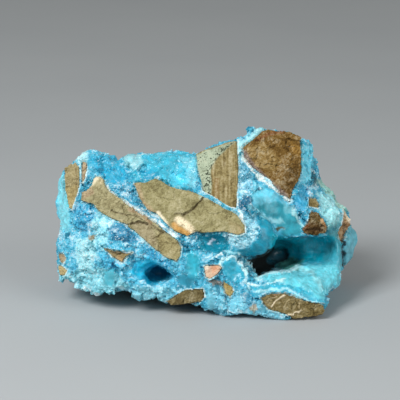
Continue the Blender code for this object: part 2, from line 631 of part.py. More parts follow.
def pocketSolid(bm, rim, height, depth, place):
    """Adds the room that a rock piece needs, open to the outside, to a mesh of pockets."""
    wide = grownRim(rim, pocketGap)
    middle = middleOf(rim)
    levels = [(-pocketReach / depth, 1.0)] + [(0.0, 1.0)] + list(sideRings)
    rings = []
    for reach, size in levels:
        deeper = 1.4 * pocketGap if reach == sideRings[-1][0] else 0.0
        ring = []
        for (across, up), (wideAcross, wideUp) in zip(rim, wide):
            spot = middle + (Vector((across, up)) - middle) * size
            spot += Vector((wideAcross - across, wideUp - up))
            out = height(wideAcross, wideUp) - depth * reach - deeper
            ring.append(bm.verts.new(place @ Vector((spot.x, spot.y, out))))
        rings.append(ring)
    made = [bm.faces.new(rings[0]), bm.faces.new(rings[-1])]
    for upper, lower in zip(rings, rings[1:]):
        for i in range(len(upper)):
            made.append(bm.faces.new((upper[i - 1], upper[i], lower[i], lower[i - 1])))
    bmesh.ops.recalc_face_normals(bm, faces=made)


def sideOfLine(line, across, up):
    """Positive left of a line drawn from its first point to its second."""
    (startAcross, startUp), (endAcross, endUp) = line
    run = math.hypot(endAcross - startAcross, endUp - startUp)
    turn = (endAcross - startAcross) * (up - startUp) - (endUp - startUp) * (across - startAcross)
    return turn / run


def step(distance, width):
    return min(max(distance / width + 0.5, 0.0), 1.0)


def faceBumps(name, rough):
    """The relief of one rock face: its own cracks and bands over an uneven break."""
    def bumps(across, up):
        place = Vector((across, up, 11.0))
        height = rough * noise.noise(place * 0.23)
        if name == "rock_centre_slab":
            height += crackStep * step(sideOfLine(slabCrack, across, up), crackWidth)
        elif name == "rock_long_diagonal":
            height += crackStep * step(-sideOfLine(diagonalCrack, across, up), crackWidth)
        elif name == "rock_banded":
            bands = bandHeight * math.sin(2.0 * math.pi * across / bandWidth)
            rind = step(-sideOfLine(rindEdge, across, up), 1.5)
            height += bands * (1.0 - rind) - rindDrop * rind
        return height
    return bumps


def seatRock(crust, place, rim, height):
    """Flattens the crust around a rock piece to just under the face of that piece."""
    back = place.inverted()
    reach = max(Vector(point).length for point in rim) + seatMargin
    for vertex in crust.data.vertices:
        local = back @ vertex.co
        if abs(local.z) > seatDepth or local.xy.length > reach:
            continue
        inside = isInside(local.xy, rim)
        away = 0.0 if inside else edgeDistance(local.xy, rim)
        share = 1.0 - min(away / seatMargin, 1.0)
        level = height(local.x, local.y) - rockProud
        local.z += (level - local.z) * share * share * (3.0 - 2.0 * share)
        vertex.co = place @ local


def hiddenRim(shape, halfLength):
    return [(across * halfLength, up * halfLength) for across, up in brokenShapes[shape]]


def hiddenPlace(tree, direction, turn):
    """Where a line from the middle leaves the crust, with the surface's own way out as Z."""
    way = Vector(direction).normalized()
    middle = Vector((frontOrigin[0], frontOrigin[1], 0.0))
    hit, normal = tree.ray_cast(middle + way * 150.0, -way)[:2]
    for i in range(8):
        side = Vector((math.cos(i * math.pi / 4), math.sin(i * math.pi / 4), 0.0)) * 4.0
        found = tree.find_nearest(hit + way.to_track_quat("Z", "Y") @ side)
        normal = normal + found[1]
    axes = normal.to_track_quat("Z", "Y").to_matrix().to_4x4()
    return Matrix.Translation(hit) @ axes @ Matrix.Rotation(math.radians(turn), 4, "Z")


def shapeRocks(crust):
    """Makes every rock piece, and the pocket in the crust that holds it."""
    rocks = []
    pockets = bmesh.new()
    chance = random.Random(hiddenSeed)
    bm = bmesh.new()
    bm.from_mesh(crust.data)
    tree = BVHTree.FromBMesh(bm)
    bm.free()
    seats = []
    for name, (direction, shape, halfLength, turn) in hiddenRocks.items():
        seats.append((name, hiddenPlace(tree, direction, turn), hiddenRim(shape, halfLength)))
    for name, place, rim in seats:
        slope = (chance.uniform(-0.06, 0.06), chance.uniform(-0.06, 0.06))

        def height(across, up, slope=slope):
            return slope[0] * across + slope[1] * up

        seatRock(crust, place, rim, height)
        depth = min(hiddenDepth, 1.1 * max(abs(up) for across, up in rim))
        rock = rockSolid(name, rim, height, depth, faceBumps(name, hiddenRough))
        rock.data.transform(place)
        pocketSolid(pockets, rim, height, depth, place)
        rocks.append(rock)
    thin(crust, crustFaces)
    for name, rock in frontRocks.items():
        def height(across, up, rock=rock):
            return faceHeight(rock, across, up)

        rough = roughFaces.get(name, commonRough)
        rocks.append(rockSolid(name, rock["rim"], height, rock["depth"], faceBumps(name, rough)))
        pocketSolid(pockets, rock["rim"], height, rock["depth"], Matrix.Identity(4))
    cut(crust, makeObject("pockets", pockets))
    keepLargestBody(crust)
    return rocks


def settle(things):
    """Leans the drawn specimen back, flattens the feet and sets it on the origin."""
    lean = math.radians(leanBack)
    leaning = Matrix(((1.0, 0.0, 0.0, 0.0), (0.0, math.sin(lean), -math.cos(lean), 0.0),
                      (0.0, math.cos(lean), math.sin(lean), -tableLevel), (0.0, 0.0, 0.0, 1.0)))
    for thing in things:
        thing.data.transform(leaning)
        if min(vertex.co.z for vertex in thing.data.vertices) < 0.0:
            block = bmesh.new()
            size = Matrix.Translation((0.0, 0.0, -50.0)) @ Matrix.Diagonal((300.0, 300.0, 100.0, 1.0))
            bmesh.ops.create_cube(block, size=1.0, matrix=size)
            cut(thing, makeObject("table", block))
    spots = [vertex.co for thing in things for vertex in thing.data.vertices]
    middle = [(min(s[i] for s in spots) + max(s[i] for s in spots)) / 2 for i in range(2)]
    toOrigin = Matrix.Scale(mm, 4) @ Matrix.Translation((-middle[0], -middle[1], 0.0))
    for thing in things:
        thing.data.transform(toOrigin)
    drawing = bpy.data.objects.new("drawing_frame", None)
    drawing.location = toOrigin @ Vector((0.0, 0.0, -tableLevel))
    bpy.context.scene.collection.objects.link(drawing)


def main():
    clearScene()
    crust = shapeCrust()
    rocks = shapeRocks(crust)
    settle([crust] + rocks)
    crust.data.materials.clear()
    crust.data.materials.append(makeMaterial("blue hemimorphite", crustColour, 0.35))
    for rock in rocks:
        colour = rockColours.get(rock.name, commonRockColour)
        rock.data.materials.clear()
        rock.data.materials.append(makeMaterial(rock.name + " stone", colour, 0.85))
    for thing in [crust] + rocks:
        print(thing.name, len(thing.data.polygons))


main()
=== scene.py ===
# A hand specimen of blue hemimorphite that cements angular pieces of brown host rock,
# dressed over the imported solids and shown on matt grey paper.

import json
import math

import bmesh
import bpy
import numpy as np
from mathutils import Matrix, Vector, noise
from mathutils.bvhtree import BVHTree


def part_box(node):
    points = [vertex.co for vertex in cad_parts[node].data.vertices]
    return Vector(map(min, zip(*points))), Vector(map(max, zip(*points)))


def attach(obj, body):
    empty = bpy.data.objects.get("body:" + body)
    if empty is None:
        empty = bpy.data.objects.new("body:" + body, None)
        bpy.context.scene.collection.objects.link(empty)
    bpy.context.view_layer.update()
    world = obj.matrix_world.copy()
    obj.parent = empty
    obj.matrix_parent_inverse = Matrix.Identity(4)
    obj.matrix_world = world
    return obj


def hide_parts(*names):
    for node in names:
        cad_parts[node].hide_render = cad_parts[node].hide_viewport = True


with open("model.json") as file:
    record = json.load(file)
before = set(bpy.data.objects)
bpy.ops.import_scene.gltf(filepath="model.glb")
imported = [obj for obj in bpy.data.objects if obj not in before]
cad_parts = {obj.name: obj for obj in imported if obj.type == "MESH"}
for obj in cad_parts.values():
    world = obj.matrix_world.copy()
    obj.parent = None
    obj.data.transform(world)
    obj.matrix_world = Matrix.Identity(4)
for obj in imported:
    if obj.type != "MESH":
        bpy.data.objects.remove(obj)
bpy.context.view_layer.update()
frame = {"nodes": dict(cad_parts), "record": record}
print("frame loaded:", len(frame["nodes"]), "nodes")

mm = 0.001
weldDistance = 0.01 * mm    # joins the loose triangles of a solid

# The drawing of the front: across to the right, up, and out to the viewer, in millimetres
drawing = {
    "lean": math.radians(15.0),          # how far it leans back
    "origin": (-0.285, -0.464, 31.3),    # where its zero lies in the frame, mm
}

# The camera, in the drawing's millimetres; the picture is 400 pixels wide and high
view = {
    "target": (-3.0, 10.65, 18.0),       # what the picture's middle shows
    "distance": 946.7,
    "lens": 200.0,
    "sensor": 36.0,
    "pixels": 400,
    "sight": 10.0,                       # how far it sees, metres
}
pixelSize = view["distance"] * view["sensor"] / view["lens"] / view["pixels"]    # at the target, mm


# Points of the frame, in metres, as across, up and out in millimetres
def toDrawing(points):
    rel = np.asarray(points, float) / mm - np.array(drawing["origin"])
    s, c = math.sin(drawing["lean"]), math.cos(drawing["lean"])
    return np.stack((rel[..., 0], s * rel[..., 1] + c * rel[..., 2], s * rel[..., 2] - c * rel[..., 1]), -1)


def toFrame(across, up, out):
    s, c = math.sin(drawing["lean"]), math.cos(drawing["lean"])
    x, y, z = drawing["origin"]
    return Vector((x + across, y + up * s - out * c, z + up * c + out * s)) * mm


# The pixel at which the camera sees each point of the drawing
def toPixels(places):
    across, up, out = view["target"]
    perPixel = (view["distance"] + out - places[:, 2]) * view["sensor"] / view["lens"] / view["pixels"]
    middle = view["pixels"] / 2
    return np.stack((middle + (places[:, 0] - across) / perPixel, middle - (places[:, 1] - up) / perPixel), 1)


# small tools for meshes

def coordinates(mesh):
    flat = np.empty(len(mesh.vertices) * 3, np.float32)
    mesh.vertices.foreach_get("co", flat)
    return flat.reshape(-1, 3).astype(float)


def normals(mesh):
    flat = np.empty(len(mesh.vertices) * 3, np.float32)
    mesh.vertex_normals.foreach_get("vector", flat)
    return flat.reshape(-1, 3).astype(float)


# Each point of a surface, its normal, its place in the drawing and its pixel
def survey(thing):
    points, ways = coordinates(thing.data), normals(thing.data)
    places = toDrawing(points)
    return points, ways, places, toPixels(places)


def moveTo(mesh, points):
    mesh.vertices.foreach_set("co", np.asarray(points, np.float32).ravel())
    mesh.update()


# Keeps a number, or a vector, for each point as an attribute
def keep(mesh, **fields):
    for name, values in fields.items():
        values = np.asarray(values, np.float32)
        kind, part = ("FLOAT_VECTOR", "vector") if values.ndim == 2 else ("FLOAT", "value")
        mesh.attributes.new(name, kind, "POINT").data.foreach_set(part, values.ravel())


# An object for a mesh, a camera or a lamp
def newObject(name, data):
    thing = bpy.data.objects.new(name, data)
    bpy.context.scene.collection.objects.link(thing)
    return thing


# A copy of a solid with its loose triangles joined, grown by some millimetres
def mergedCopy(node, grow=0.0):
    bm = bmesh.new()
    bm.from_mesh(frame["nodes"][node].data)
    bmesh.ops.remove_doubles(bm, verts=bm.verts, dist=weldDistance)
    bm.normal_update()
    shifts = [(vertex, vertex.normal * grow * mm) for vertex in bm.verts]
    for vertex, shift in shifts:
        vertex.co += shift
    return bm


def meshOf(bm, name):
    mesh = bpy.data.meshes.new(name)
    bm.to_mesh(mesh)
    bm.free()
    return mesh


# Turns what the modifiers make into the object's own plain mesh
def bake(thing):
    mesh = bpy.data.meshes.new_from_object(thing.evaluated_get(bpy.context.evaluated_depsgraph_get()))
    thing.modifiers.clear()
    old = thing.data
    thing.data = mesh
    bpy.data.meshes.remove(old)


# Bakes one modifier, which may act on each point by a weight, in steps of a tenth
def change(thing, kind, weights=None, **settings):
    modifier = thing.modifiers.new(kind, kind)
    for name, value in settings.items():
        setattr(modifier, name, value)
    if weights is not None:
        group = thing.vertex_groups.new(name=kind)
        weights = np.round(weights, 1)
        for level in np.unique(weights):
            group.add(np.nonzero(weights == level)[0].tolist(), float(level), "REPLACE")
        modifier.vertex_group = group.name
    bake(thing)
    thing.vertex_groups.clear()


def largestBody(thing):
    bm = bmesh.new()
    bm.from_mesh(thing.data)
    left = set(bm.verts)
    bodies = []
    while left:
        queue = [left.pop()]
        body = set(queue)
        while queue:
            for edge in queue.pop().link_edges:
                for vertex in edge.verts:
                    if vertex in left:
                        left.remove(vertex)
                        body.add(vertex)
                        queue.append(vertex)
        bodies.append(body)
    bodies.sort(key=len)
    scraps = [vertex for body in bodies[:-1] for vertex in body]
    if scraps:
        bmesh.ops.delete(bm, geom=scraps, context="VERTS")
        bm.to_mesh(thing.data)
    bm.free()


# Keeps a fine surface inside the specimen's box and on the table
def holdInside(thing):
    low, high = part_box("hemimorphite")
    moveTo(thing.data, np.clip(coordinates(thing.data), np.array(low), np.array(high)))


def softStep(values, low, high):
    t = np.clip((values - low) / (high - low), 0.0, 1.0)
    return t * t * (3.0 - 2.0 * t)


# marks drawn on the front, in pixels of the picture

unevenness = {
    "size": 2.6,                # of the waves in a drawn edge, mm
    "fractal": (0.7, 2.1, 3),   # how fast they weaken, how much finer each is, and how many
    "apart": (40, 0, 0),        # keeps the shifts across and down from being alike
}
lineFade = (0.4, 1.6)           # where a line starts and ends to fade, in its half widths


# The way in millimetres from each pixel to a row of corners
def wayTo(seen, corners):
    best = np.full(len(seen), np.inf)
    for start, end in zip(corners, corners[1:]):
        run = end - start
        rel = seen - start
        along = np.clip(rel @ run / (run @ run), 0.0, 1.0)
        best = np.minimum(best, np.linalg.norm(rel - along[:, None] * run, axis=1))
    return best * pixelSize


# 1 on a line of some half width in millimetres, 0 past it
def onLine(seen, corners, width):
    return 1.0 - softStep(wayTo(seen, np.array(corners, float)), width * lineFade[0], width * lineFade[1])


# 1 inside an outline, 0 outside, with a soft edge in millimetres
def inArea(seen, corners, soft):
    ring = np.array(corners + corners[:1], float)
    inside = np.zeros(len(seen), bool)
    for start, end in zip(ring, ring[1:]):
        spans = (start[1] > seen[:, 1]) != (end[1] > seen[:, 1])
        rise = (seen[:, 1] - start[1]) / ((end[1] - start[1]) or 1.0)
        inside ^= spans & (seen[:, 0] < start[0] + rise * (end[0] - start[0]))
    way = wayTo(seen, ring)
    return softStep(np.where(inside, way, -way), -soft, soft)


# Shifts the pixels a little from spot to spot, so that drawn edges run as unevenly as grown ones
def waver(seen, places, reach):
    kind, apart = unevenness["fractal"], Vector(unevenness["apart"])
    shifts = [(noise.fractal(spot, *kind), noise.fractal(spot + apart, *kind))
              for spot in map(Vector, places / unevenness["size"])]
    return seen + np.array(shifts) * reach


# Turns a colour written as sRGB hex into the linear one that a shader takes
def colour(text):
    parts = [int(text[i:i + 2], 16) / 255.0 for i in (1, 3, 5)]
    return tuple(p / 12.92 if p <= 0.04045 else ((p + 0.055) / 1.055) ** 2.4 for p in parts) + (1.0,)


# One linear red, green and blue for each point
def plainly(points, shade):
    return np.tile(np.array(colour(shade)[:3]), (len(points), 1))


# Paints areas and then lines over the colours of the points
def paint(shades, seen, front, areas, lines, soft):
    layers = [(shade, strength, inArea(seen, corners, soft)) for shade, strength, corners in areas.values()]
    layers += [(shade, strength, onLine(seen, corners, width))
               for shade, strength, width, _, corners in lines.values()]
    for shade, strength, reached in layers:
        share = (reached * front * strength)[:, None]
        shades = shades * (1.0 - share) + np.array(colour(shade)[:3]) * share
    return shades


# The height that drawn lines give each point, in millimetres
def lineHeight(seen, front, lines):
    height = np.zeros(len(seen))
    for _, _, width, rise, corners in lines.values():
        height += onLine(seen, corners, width) * front * rise
    return height


# small tools for node trees

# Adds a node with its settings, its values and its links
def add(tree, kind, inputs=None, **settings):
    node = tree.nodes.new(kind)
    for name, value in settings.items():
        setattr(node, name, value)
    for key, value in (inputs or {}).items():
        if isinstance(value, bpy.types.Node):
            value = next(socket for socket in value.outputs if socket.enabled)
        if isinstance(value, bpy.types.NodeSocket):
            tree.links.new(value, node.inputs[key])
        else:
            isShade = isinstance(value, str) and value[:1] == "#"
            node.inputs[key].default_value = colour(value) if isShade else value
    return node


def newMaterial(name):
    material = bpy.data.materials.new(name)
    material.use_nodes = True
    material.node_tree.nodes.clear()
    return material, material.node_tree


def newTree(name, values):
    tree = bpy.data.node_groups.new(name, "GeometryNodeTree")
    tree.interface.new_socket("Geometry", in_out="INPUT", socket_type="NodeSocketGeometry")
    for key in values:
        tree.interface.new_socket(key, in_out="INPUT", socket_type="NodeSocketFloat")
    tree.interface.new_socket("Geometry", in_out="OUTPUT", socket_type="NodeSocketGeometry")
    return tree, add(tree, "NodeGroupInput").outputs


# Gives an object a tree as a modifier, with its inputs set by their identifiers
def grow(thing, tree, values):
    modifier = thing.modifiers.new(tree.name, "NODES")
    modifier.node_group = tree
    for socket in tree.interface.items_tree:
        if socket.in_out == "INPUT" and socket.name in values:
            modifier[socket.identifier] = values[socket.name]
    bake(thing)


# A material's place on its piece, in millimetres
def inMillimetres(tree):
    place = add(tree, "ShaderNodeTexCoord").outputs["Object"]
    return add(tree, "ShaderNodeVectorMath", {0: place, "Scale": 1.0 / mm}, operation="SCALE")


# A place shifted by slow noise, so that the grains drawn there are uneven
def bend(tree, place, scale, detail, reach):
    wobble = add(tree, "ShaderNodeTexNoise", {"Vector": place, "Scale": scale, "Detail": detail})
    return add(tree, "ShaderNodeVectorMath",
               {0: wobble.outputs["Color"], 1: (reach, reach, reach), 2: place}, operation="MULTIPLY_ADD")


# Adds parts to a tone, each centred on its middle and counted by its weight and share
def addTones(tree, tone, parts):
    for part, middle, weight, share in parts:
        centred = add(tree, "ShaderNodeMath", {0: part, 1: middle}, operation="SUBTRACT")
        scaled = add(tree, "ShaderNodeMath", {0: centred, 1: weight}, operation="MULTIPLY")
        tone = add(tree, "ShaderNodeMath", {0: scaled, 1: share, 2: tone}, operation="MULTIPLY_ADD")
    return tone


# A tint, darker where the tone is in the low range and lighter where it is in the high one
def shadeBy(tree, tone, tint, low, dark, high, light, lightest):
    darker = add(tree, "ShaderNodeMix", {0: 1.0, 6: tint, 7: dark}, data_type="RGBA", blend_type="MULTIPLY")
    lighter = add(tree, "ShaderNodeMix", {0: lightest, 6: tint, 7: light}, data_type="RGBA")
    below = add(tree, "ShaderNodeMapRange", {0: tone, 1: low[0], 2: low[1]})
    above = add(tree, "ShaderNodeMapRange", {0: tone, 1: high[0], 2: high[1]})
    shaded = add(tree, "ShaderNodeMix", {0: below, 6: darker, 7: tint}, data_type="RGBA")
    return add(tree, "ShaderNodeMix", {0: above, 6: shaded, 7: lighter}, data_type="RGBA")


# Puts a small shape on each point, as long as a share of the largest, from the least share up
def plant(tree, points, shape, turn, seed, least, largest):
    size = add(tree, "FunctionNodeRandomValue", {2: least, 3: 1.0, "Seed": seed}, data_type="FLOAT")
    metres = add(tree, "ShaderNodeMath", {0: largest, 1: mm}, operation="MULTIPLY")
    length = add(tree, "ShaderNodeMath", {0: size, 1: metres}, operation="MULTIPLY")
    return add(tree, "GeometryNodeInstanceOnPoints",
               {"Points": points.outputs["Points"], "Instance": shape, "Rotation": turn, "Scale": length})


# Ends a tree with its planted shapes as real faces of one material
def finishTree(tree, planted, material):
    real = add(tree, "GeometryNodeRealizeInstances", {"Geometry": planted})
    finished = add(tree, "GeometryNodeSetMaterial", {"Geometry": real, "Material": material})
    add(tree, "NodeGroupOutput", {"Geometry": finished})


# Gives a finished piece its material, hides the solids that it stands for and puts it in its body
def wear(piece, material, slot, *replaced):
    piece.data.materials.clear()
    piece.data.materials.append(material)
    if replaced:
        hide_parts(*replaced)
    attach(piece, "root")


# the blue crust

rockNames = [name for name in sorted(frame["nodes"]) if name.startswith("rock_")]

# A pair of numbers is where something starts and where it is full
crustLook = {
    "voxel": 0.55,              # grain of the fine surface, mm
    "triangles": 190000,
    "thinning": (0.35, 0.4, 0.25),   # how freely: everywhere, more at the back, more over rocks
    "back": (-2.0, 6.0),        # how far in the back begins, mm
    "rounds": (8, 30, 80),      # of smoothing: everywhere, on whole skin, deep in the hollows
    "deep": (-18.0, -11.0),     # how far in the hollows count as deep, mm
    "rockGrow": 0.3,            # closes the clearance to the rocks, mm
    "overReach": 1.2,           # a point this near a rock may cover it, mm
    "overDepth": 0.9,           # and does if the rock lies this far under it, mm
    "sink": 1.3,                # how far the crust drops under a rock piece, mm
    "rim": (0.3, 1.4),          # how far from a rock its raised edge falls off, mm
    "rimLift": 0.3,             # the edge's height over the crust, mm
    "seam": (0.2, 1.4),         # how far from a rock the breaks set in, mm
    "front": (-12.0, -6.0),     # how far out the marks of the front begin, mm
    "bed": (0.05, 1.5),         # how high over the table relief begins, mm
    "plain": "#45AECB",         # blue of the sides that the marks don't reach
    "skinEdge": 1.0,            # softness of the edge of whole skin, mm
    "areaEdge": 0.8,            # of a painted area's
    "spotEdge": 0.35,           # of a small spot's
    "speckleEdge": 1.5,         # and of a sparkling area's
    "speckle": 0.35,            # how much the rest sparkles
    "waver": 2.2,               # how far drawn edges stray, pixels
    "patchSize": 13.0,          # size of the whole patches on the other sides, mm
    "patchLevel": (0.12, 0.3),  # of the noise that lays them out
}

# Where the crust's skin is whole: how fully, and the outline
smoothAreas = {
    "lobe": (1.0, [(259, 216), (267, 216), (274, 226), (274, 234), (270, 247), (262, 255), (250, 258),
        (236, 252), (222, 250), (236, 247), (250, 247), (258, 240), (260, 228)]),
    "gel over the hollow": (1.0, [(251, 204), (258, 188), (270, 188), (284, 198), (292, 208), (299, 216),
        (303, 224), (302, 235), (280, 237), (272, 222), (262, 213)]),
    "large hollow": (1.0, [(262, 236), (285, 238), (325, 236), (338, 230), (343, 246), (343, 266),
        (320, 268), (298, 266), (285, 272), (258, 279), (248, 258), (264, 254)]),
    "bowl of the lip": (0.85, [(298, 264), (320, 266), (342, 264), (342, 280), (330, 290), (323, 300),
        (302, 292), (280, 282), (262, 279), (272, 272), (288, 272)]),
    "left window": (1.0, [(187, 254), (193, 251), (199, 258), (201, 268), (198, 278), (190, 281),
        (185, 272)]),
    "middle window": (1.0, [(221, 265), (226, 259), (235, 258), (242, 265), (245, 276), (240, 283),
        (229, 279), (222, 273)]),
    "left hollow": (1.0, [(130, 274), (140, 264), (149, 259), (158, 263), (171, 271), (175, 279),
        (160, 283), (150, 285), (139, 279)]),
    "ledge right of it": (1.0, [(176, 277), (184, 271), (195, 278), (191, 288), (176, 290)]),
    "little column": (0.9, [(103, 270), (113, 270), (116, 282), (110, 288), (103, 285)]),
    "upper step": (0.6, [(122, 156), (136, 152), (165, 151), (182, 151), (196, 158), (198, 172), (195, 188),
        (176, 187), (160, 178), (140, 178), (146, 166), (128, 163)]),
    "blue beside the step": (0.55, [(102, 160), (119, 159), (129, 172), (121, 186), (108, 184),
        (103, 172)]),
    "left strip": (0.7, [(57, 168), (64, 170), (65, 195), (71, 214), (70, 232), (60, 230), (55, 200)]),
    "upper left corner": (0.5, [(76, 156), (86, 149), (102, 156), (98, 168), (88, 165)]),
    "right lump": (1.0, [(350, 222), (355, 220), (360, 232), (359, 250), (352, 268), (344, 276),
        (344, 250)]),
    "upright band": (0.4, [(301, 140), (314, 139), (314, 152), (310, 162), (313, 182), (304, 184),
        (300, 160)]),
    "cap between the upper rocks": (0.7, [(238, 142), (249, 136), (254, 127), (264, 131), (250, 143),
        (242, 150), (238, 158)]),
    "pale oval": (0.9, [(207, 292), (213, 290), (215, 299), (214, 308), (209, 309), (205, 302)]),
    "small hollow": (0.7, [(200, 236), (222, 233), (232, 248), (215, 253), (201, 249)]),
    "lip": (0.85, [(250, 283), (270, 281), (292, 286), (322, 297), (322, 303), (292, 294), (270, 291),
        (256, 296)]),
    "shoulder": (0.55, [(316, 180), (332, 182), (348, 204), (342, 226), (326, 228), (318, 205)]),
    "foot": (0.5, [(228, 296), (262, 304), (284, 312), (280, 320), (250, 316), (226, 308)]),
    "blue right of the tip": (0.8, [(293, 203), (299, 190), (306, 186), (308, 200), (305, 210),
        (296, 212)]),
}

# Colours of the front: shade, strength and outline, painted from the large to the small
crustAreas = {
    "left mass": ("#55BAD6", 0.9, [(56, 200), (100, 200), (150, 245), (185, 265), (180, 300), (60, 285)]),
    "chalky flank": ("#B4E8EE", 0.8, [(76, 238), (96, 236), (97, 250), (93, 270), (80, 274), (74, 256)]),
    "left foot": ("#92DAE6", 0.85, [(60, 276), (84, 268), (104, 268), (118, 274), (130, 288), (98, 296),
        (78, 287)]),
    "left strip": ("#86DCEA", 0.9, [(56, 180), (62, 172), (65, 192), (70, 212), (68, 232), (60, 230)]),
    "under the fin": ("#2FA3CC", 0.7, [(74, 204), (92, 203), (98, 214), (92, 230), (78, 232), (72, 215)]),
    "pale column": ("#9FDFEA", 0.8, [(92, 212), (106, 213), (112, 226), (104, 250), (94, 246)]),
    "deep pocket": ("#1478A0", 0.8, [(108, 228), (122, 222), (134, 232), (140, 240), (128, 244),
        (112, 240)]),
    "blue over the left hollow": ("#2C9CC6", 0.7, [(140, 244), (152, 248), (172, 262), (168, 270),
        (148, 258)]),
    "blue left of it": ("#4CBFE4", 0.7, [(101, 254), (112, 258), (124, 266), (112, 270), (102, 266)]),
    "below the left hollow": ("#8ED2E0", 0.8, [(131, 284), (146, 288), (164, 287), (178, 288), (168, 299),
        (150, 301), (134, 298)]),
    "upper blue": ("#26A8CC", 0.9, [(88, 158), (100, 156), (122, 160), (130, 174), (120, 190), (104, 180)]),
    "upper left corner": ("#BDE9EE", 0.8, [(74, 158), (82, 150), (88, 150), (88, 160), (80, 166)]),
    "between the slabs": ("#48A4C2", 0.8, [(108, 184), (132, 182), (140, 203), (156, 216), (182, 236),
        (172, 238), (130, 206)]),
    "upper step": ("#3CB4CE", 0.9, [(122, 156), (150, 151), (182, 151), (198, 158), (197, 176), (188, 188),
        (165, 184), (150, 177), (134, 180), (126, 166)]),
    "its pale left": ("#A6DADF", 0.7, [(122, 156), (140, 153), (144, 162), (138, 170), (126, 166)]),
    "its pale right": ("#8AD6E6", 0.6, [(178, 157), (196, 158), (197, 186), (184, 186), (188, 172)]),
    "its blue fold": ("#1C98BC", 0.7, [(140, 170), (152, 168), (162, 176), (150, 180), (142, 178)]),
    "its bright foot": ("#4CC6E0", 0.7, [(160, 176), (178, 174), (190, 180), (184, 188), (168, 185)]),
    "cap between the upper rocks": ("#B2E8EE", 0.85, [(237, 142), (250, 134), (256, 127), (265, 131),
        (246, 146), (242, 158), (237, 156)]),
    "vein between the upper rocks": ("#8CCDE2", 0.9, [(238, 158), (244, 158), (252, 176), (252, 196),
        (238, 198)]),
    "its deep foot": ("#14668A", 0.85, [(238, 200), (250, 196), (253, 206), (248, 213), (238, 210)]),
    "patch under the brown rock": ("#66C3D8", 0.9, [(252, 176), (262, 186), (280, 196), (276, 204),
        (256, 206), (250, 196)]),
    "gel": ("#2A8E9E", 0.95, [(254, 206), (276, 200), (292, 208), (300, 218), (302, 234), (284, 236),
        (272, 220)]),
    "pale beside the tip": ("#78BAC6", 0.7, [(280, 198), (290, 204), (294, 214), (286, 212)]),
    "under the slab's end": ("#A6DAE8", 0.9, [(222, 236), (243, 230), (244, 216), (252, 214), (258, 224),
        (256, 238), (246, 249), (230, 246)]),
    "lobe": ("#0690AC", 0.95, [(246, 204), (254, 208), (266, 216), (274, 226), (274, 238), (268, 250),
        (250, 258), (222, 250), (240, 249), (252, 246), (260, 234), (258, 222), (248, 214)]),
    "small hollow": ("#0A829A", 0.95, [(196, 236), (222, 233), (230, 246), (246, 255), (224, 254),
        (202, 250)]),
    "left window": ("#2CA8BE", 0.95, [(186, 254), (193, 250), (200, 258), (201, 268), (198, 279),
        (188, 281)]),
    "middle window": ("#2CA2BC", 0.95, [(220, 266), (226, 258), (235, 257), (243, 265), (246, 277),
        (238, 284), (228, 279)]),
    "outer crust of it": ("#409CB2", 0.8, [(226, 251), (240, 252), (250, 262), (257, 277), (250, 280),
        (244, 264), (236, 256)]),
    "left hollow's wall": ("#20C8F0", 0.95, [(130, 273), (140, 262), (149, 258), (158, 264), (150, 270),
        (142, 277)]),
    "left hollow": ("#088CB0", 1.0, [(142, 278), (154, 266), (164, 269), (174, 277), (160, 281),
        (150, 286)]),
    "ledge": ("#237F98", 0.9, [(176, 277), (184, 271), (195, 278), (190, 288), (176, 290)]),
    "little column": ("#46B0C4", 0.9, [(103, 270), (114, 270), (116, 286), (104, 286)]),
    "front foot": ("#7CCBE0", 0.85, [(206, 286), (224, 286), (240, 292), (262, 304), (286, 312), (284, 322),
        (240, 316), (208, 312)]),
    "deep line of the foot": ("#2084A6", 0.7, [(240, 292), (250, 292), (256, 304), (262, 312), (248, 308)]),
    "lip": ("#38A2BC", 0.9, [(246, 284), (270, 283), (292, 287), (322, 298), (322, 305), (292, 294),
        (270, 290), (256, 296)]),
    "bowl of the lip": ("#68CBDA", 0.95, [(258, 279), (272, 271), (290, 271), (300, 264), (342, 264),
        (342, 282), (330, 290), (322, 300), (300, 292), (280, 283)]),
    "wall of the large hollow": ("#0AA6BC", 1.0, [(270, 232), (288, 238), (325, 236), (338, 231),
        (340, 248), (326, 262), (298, 262), (284, 252), (270, 250)]),
    "its right wall": ("#3E9EAE", 0.8, [(326, 244), (343, 238), (343, 266), (322, 266)]),
    "its green floor": ("#4E8E7C", 0.9, [(274, 270), (280, 261), (290, 257), (304, 260), (298, 270)]),
    # near-black paint here stands in for the shade deep in the large hollow's end
    "painted shade at its end": ("#03100F", 1.0, [(246, 259), (262, 254), (272, 247), (288, 248), (289, 258),
        (278, 265), (269, 273), (258, 278)]),
    "shoulder": ("#98C4B8", 0.95, [(314, 180), (330, 180), (342, 194), (350, 208), (344, 214), (332, 198)]),
    "pale side of the shoulder": ("#A2DEE2", 0.9, [(318, 192), (330, 196), (342, 214), (342, 224),
        (328, 228), (320, 208)]),
    "right of the wedge": ("#4C9498", 0.7, [(326, 222), (342, 222), (343, 240), (328, 236)]),
    "blue right of the tip": ("#2F9DC4", 0.85, [(292, 206), (300, 188), (310, 184), (309, 198),
        (304, 212)]),
    "upright band": ("#7ADCF2", 0.9, [(300, 146), (314, 146), (311, 160), (313, 182), (302, 184)]),
    "pale top of the right lump": ("#93DAE8", 0.7, [(350, 224), (356, 221), (359, 234), (352, 238)]),
    # painted shade of the narrow gap beside the upright band
    "shade painted in the gap beside the upright band": ("#1C5A6C", 0.9, [(312, 168), (317, 174), (317, 186), (312, 186), (313, 176)]),
    "right lump": ("#62AEBE", 0.9, [(348, 222), (355, 220), (361, 232), (359, 252), (344, 277),
        (344, 248)]),
}

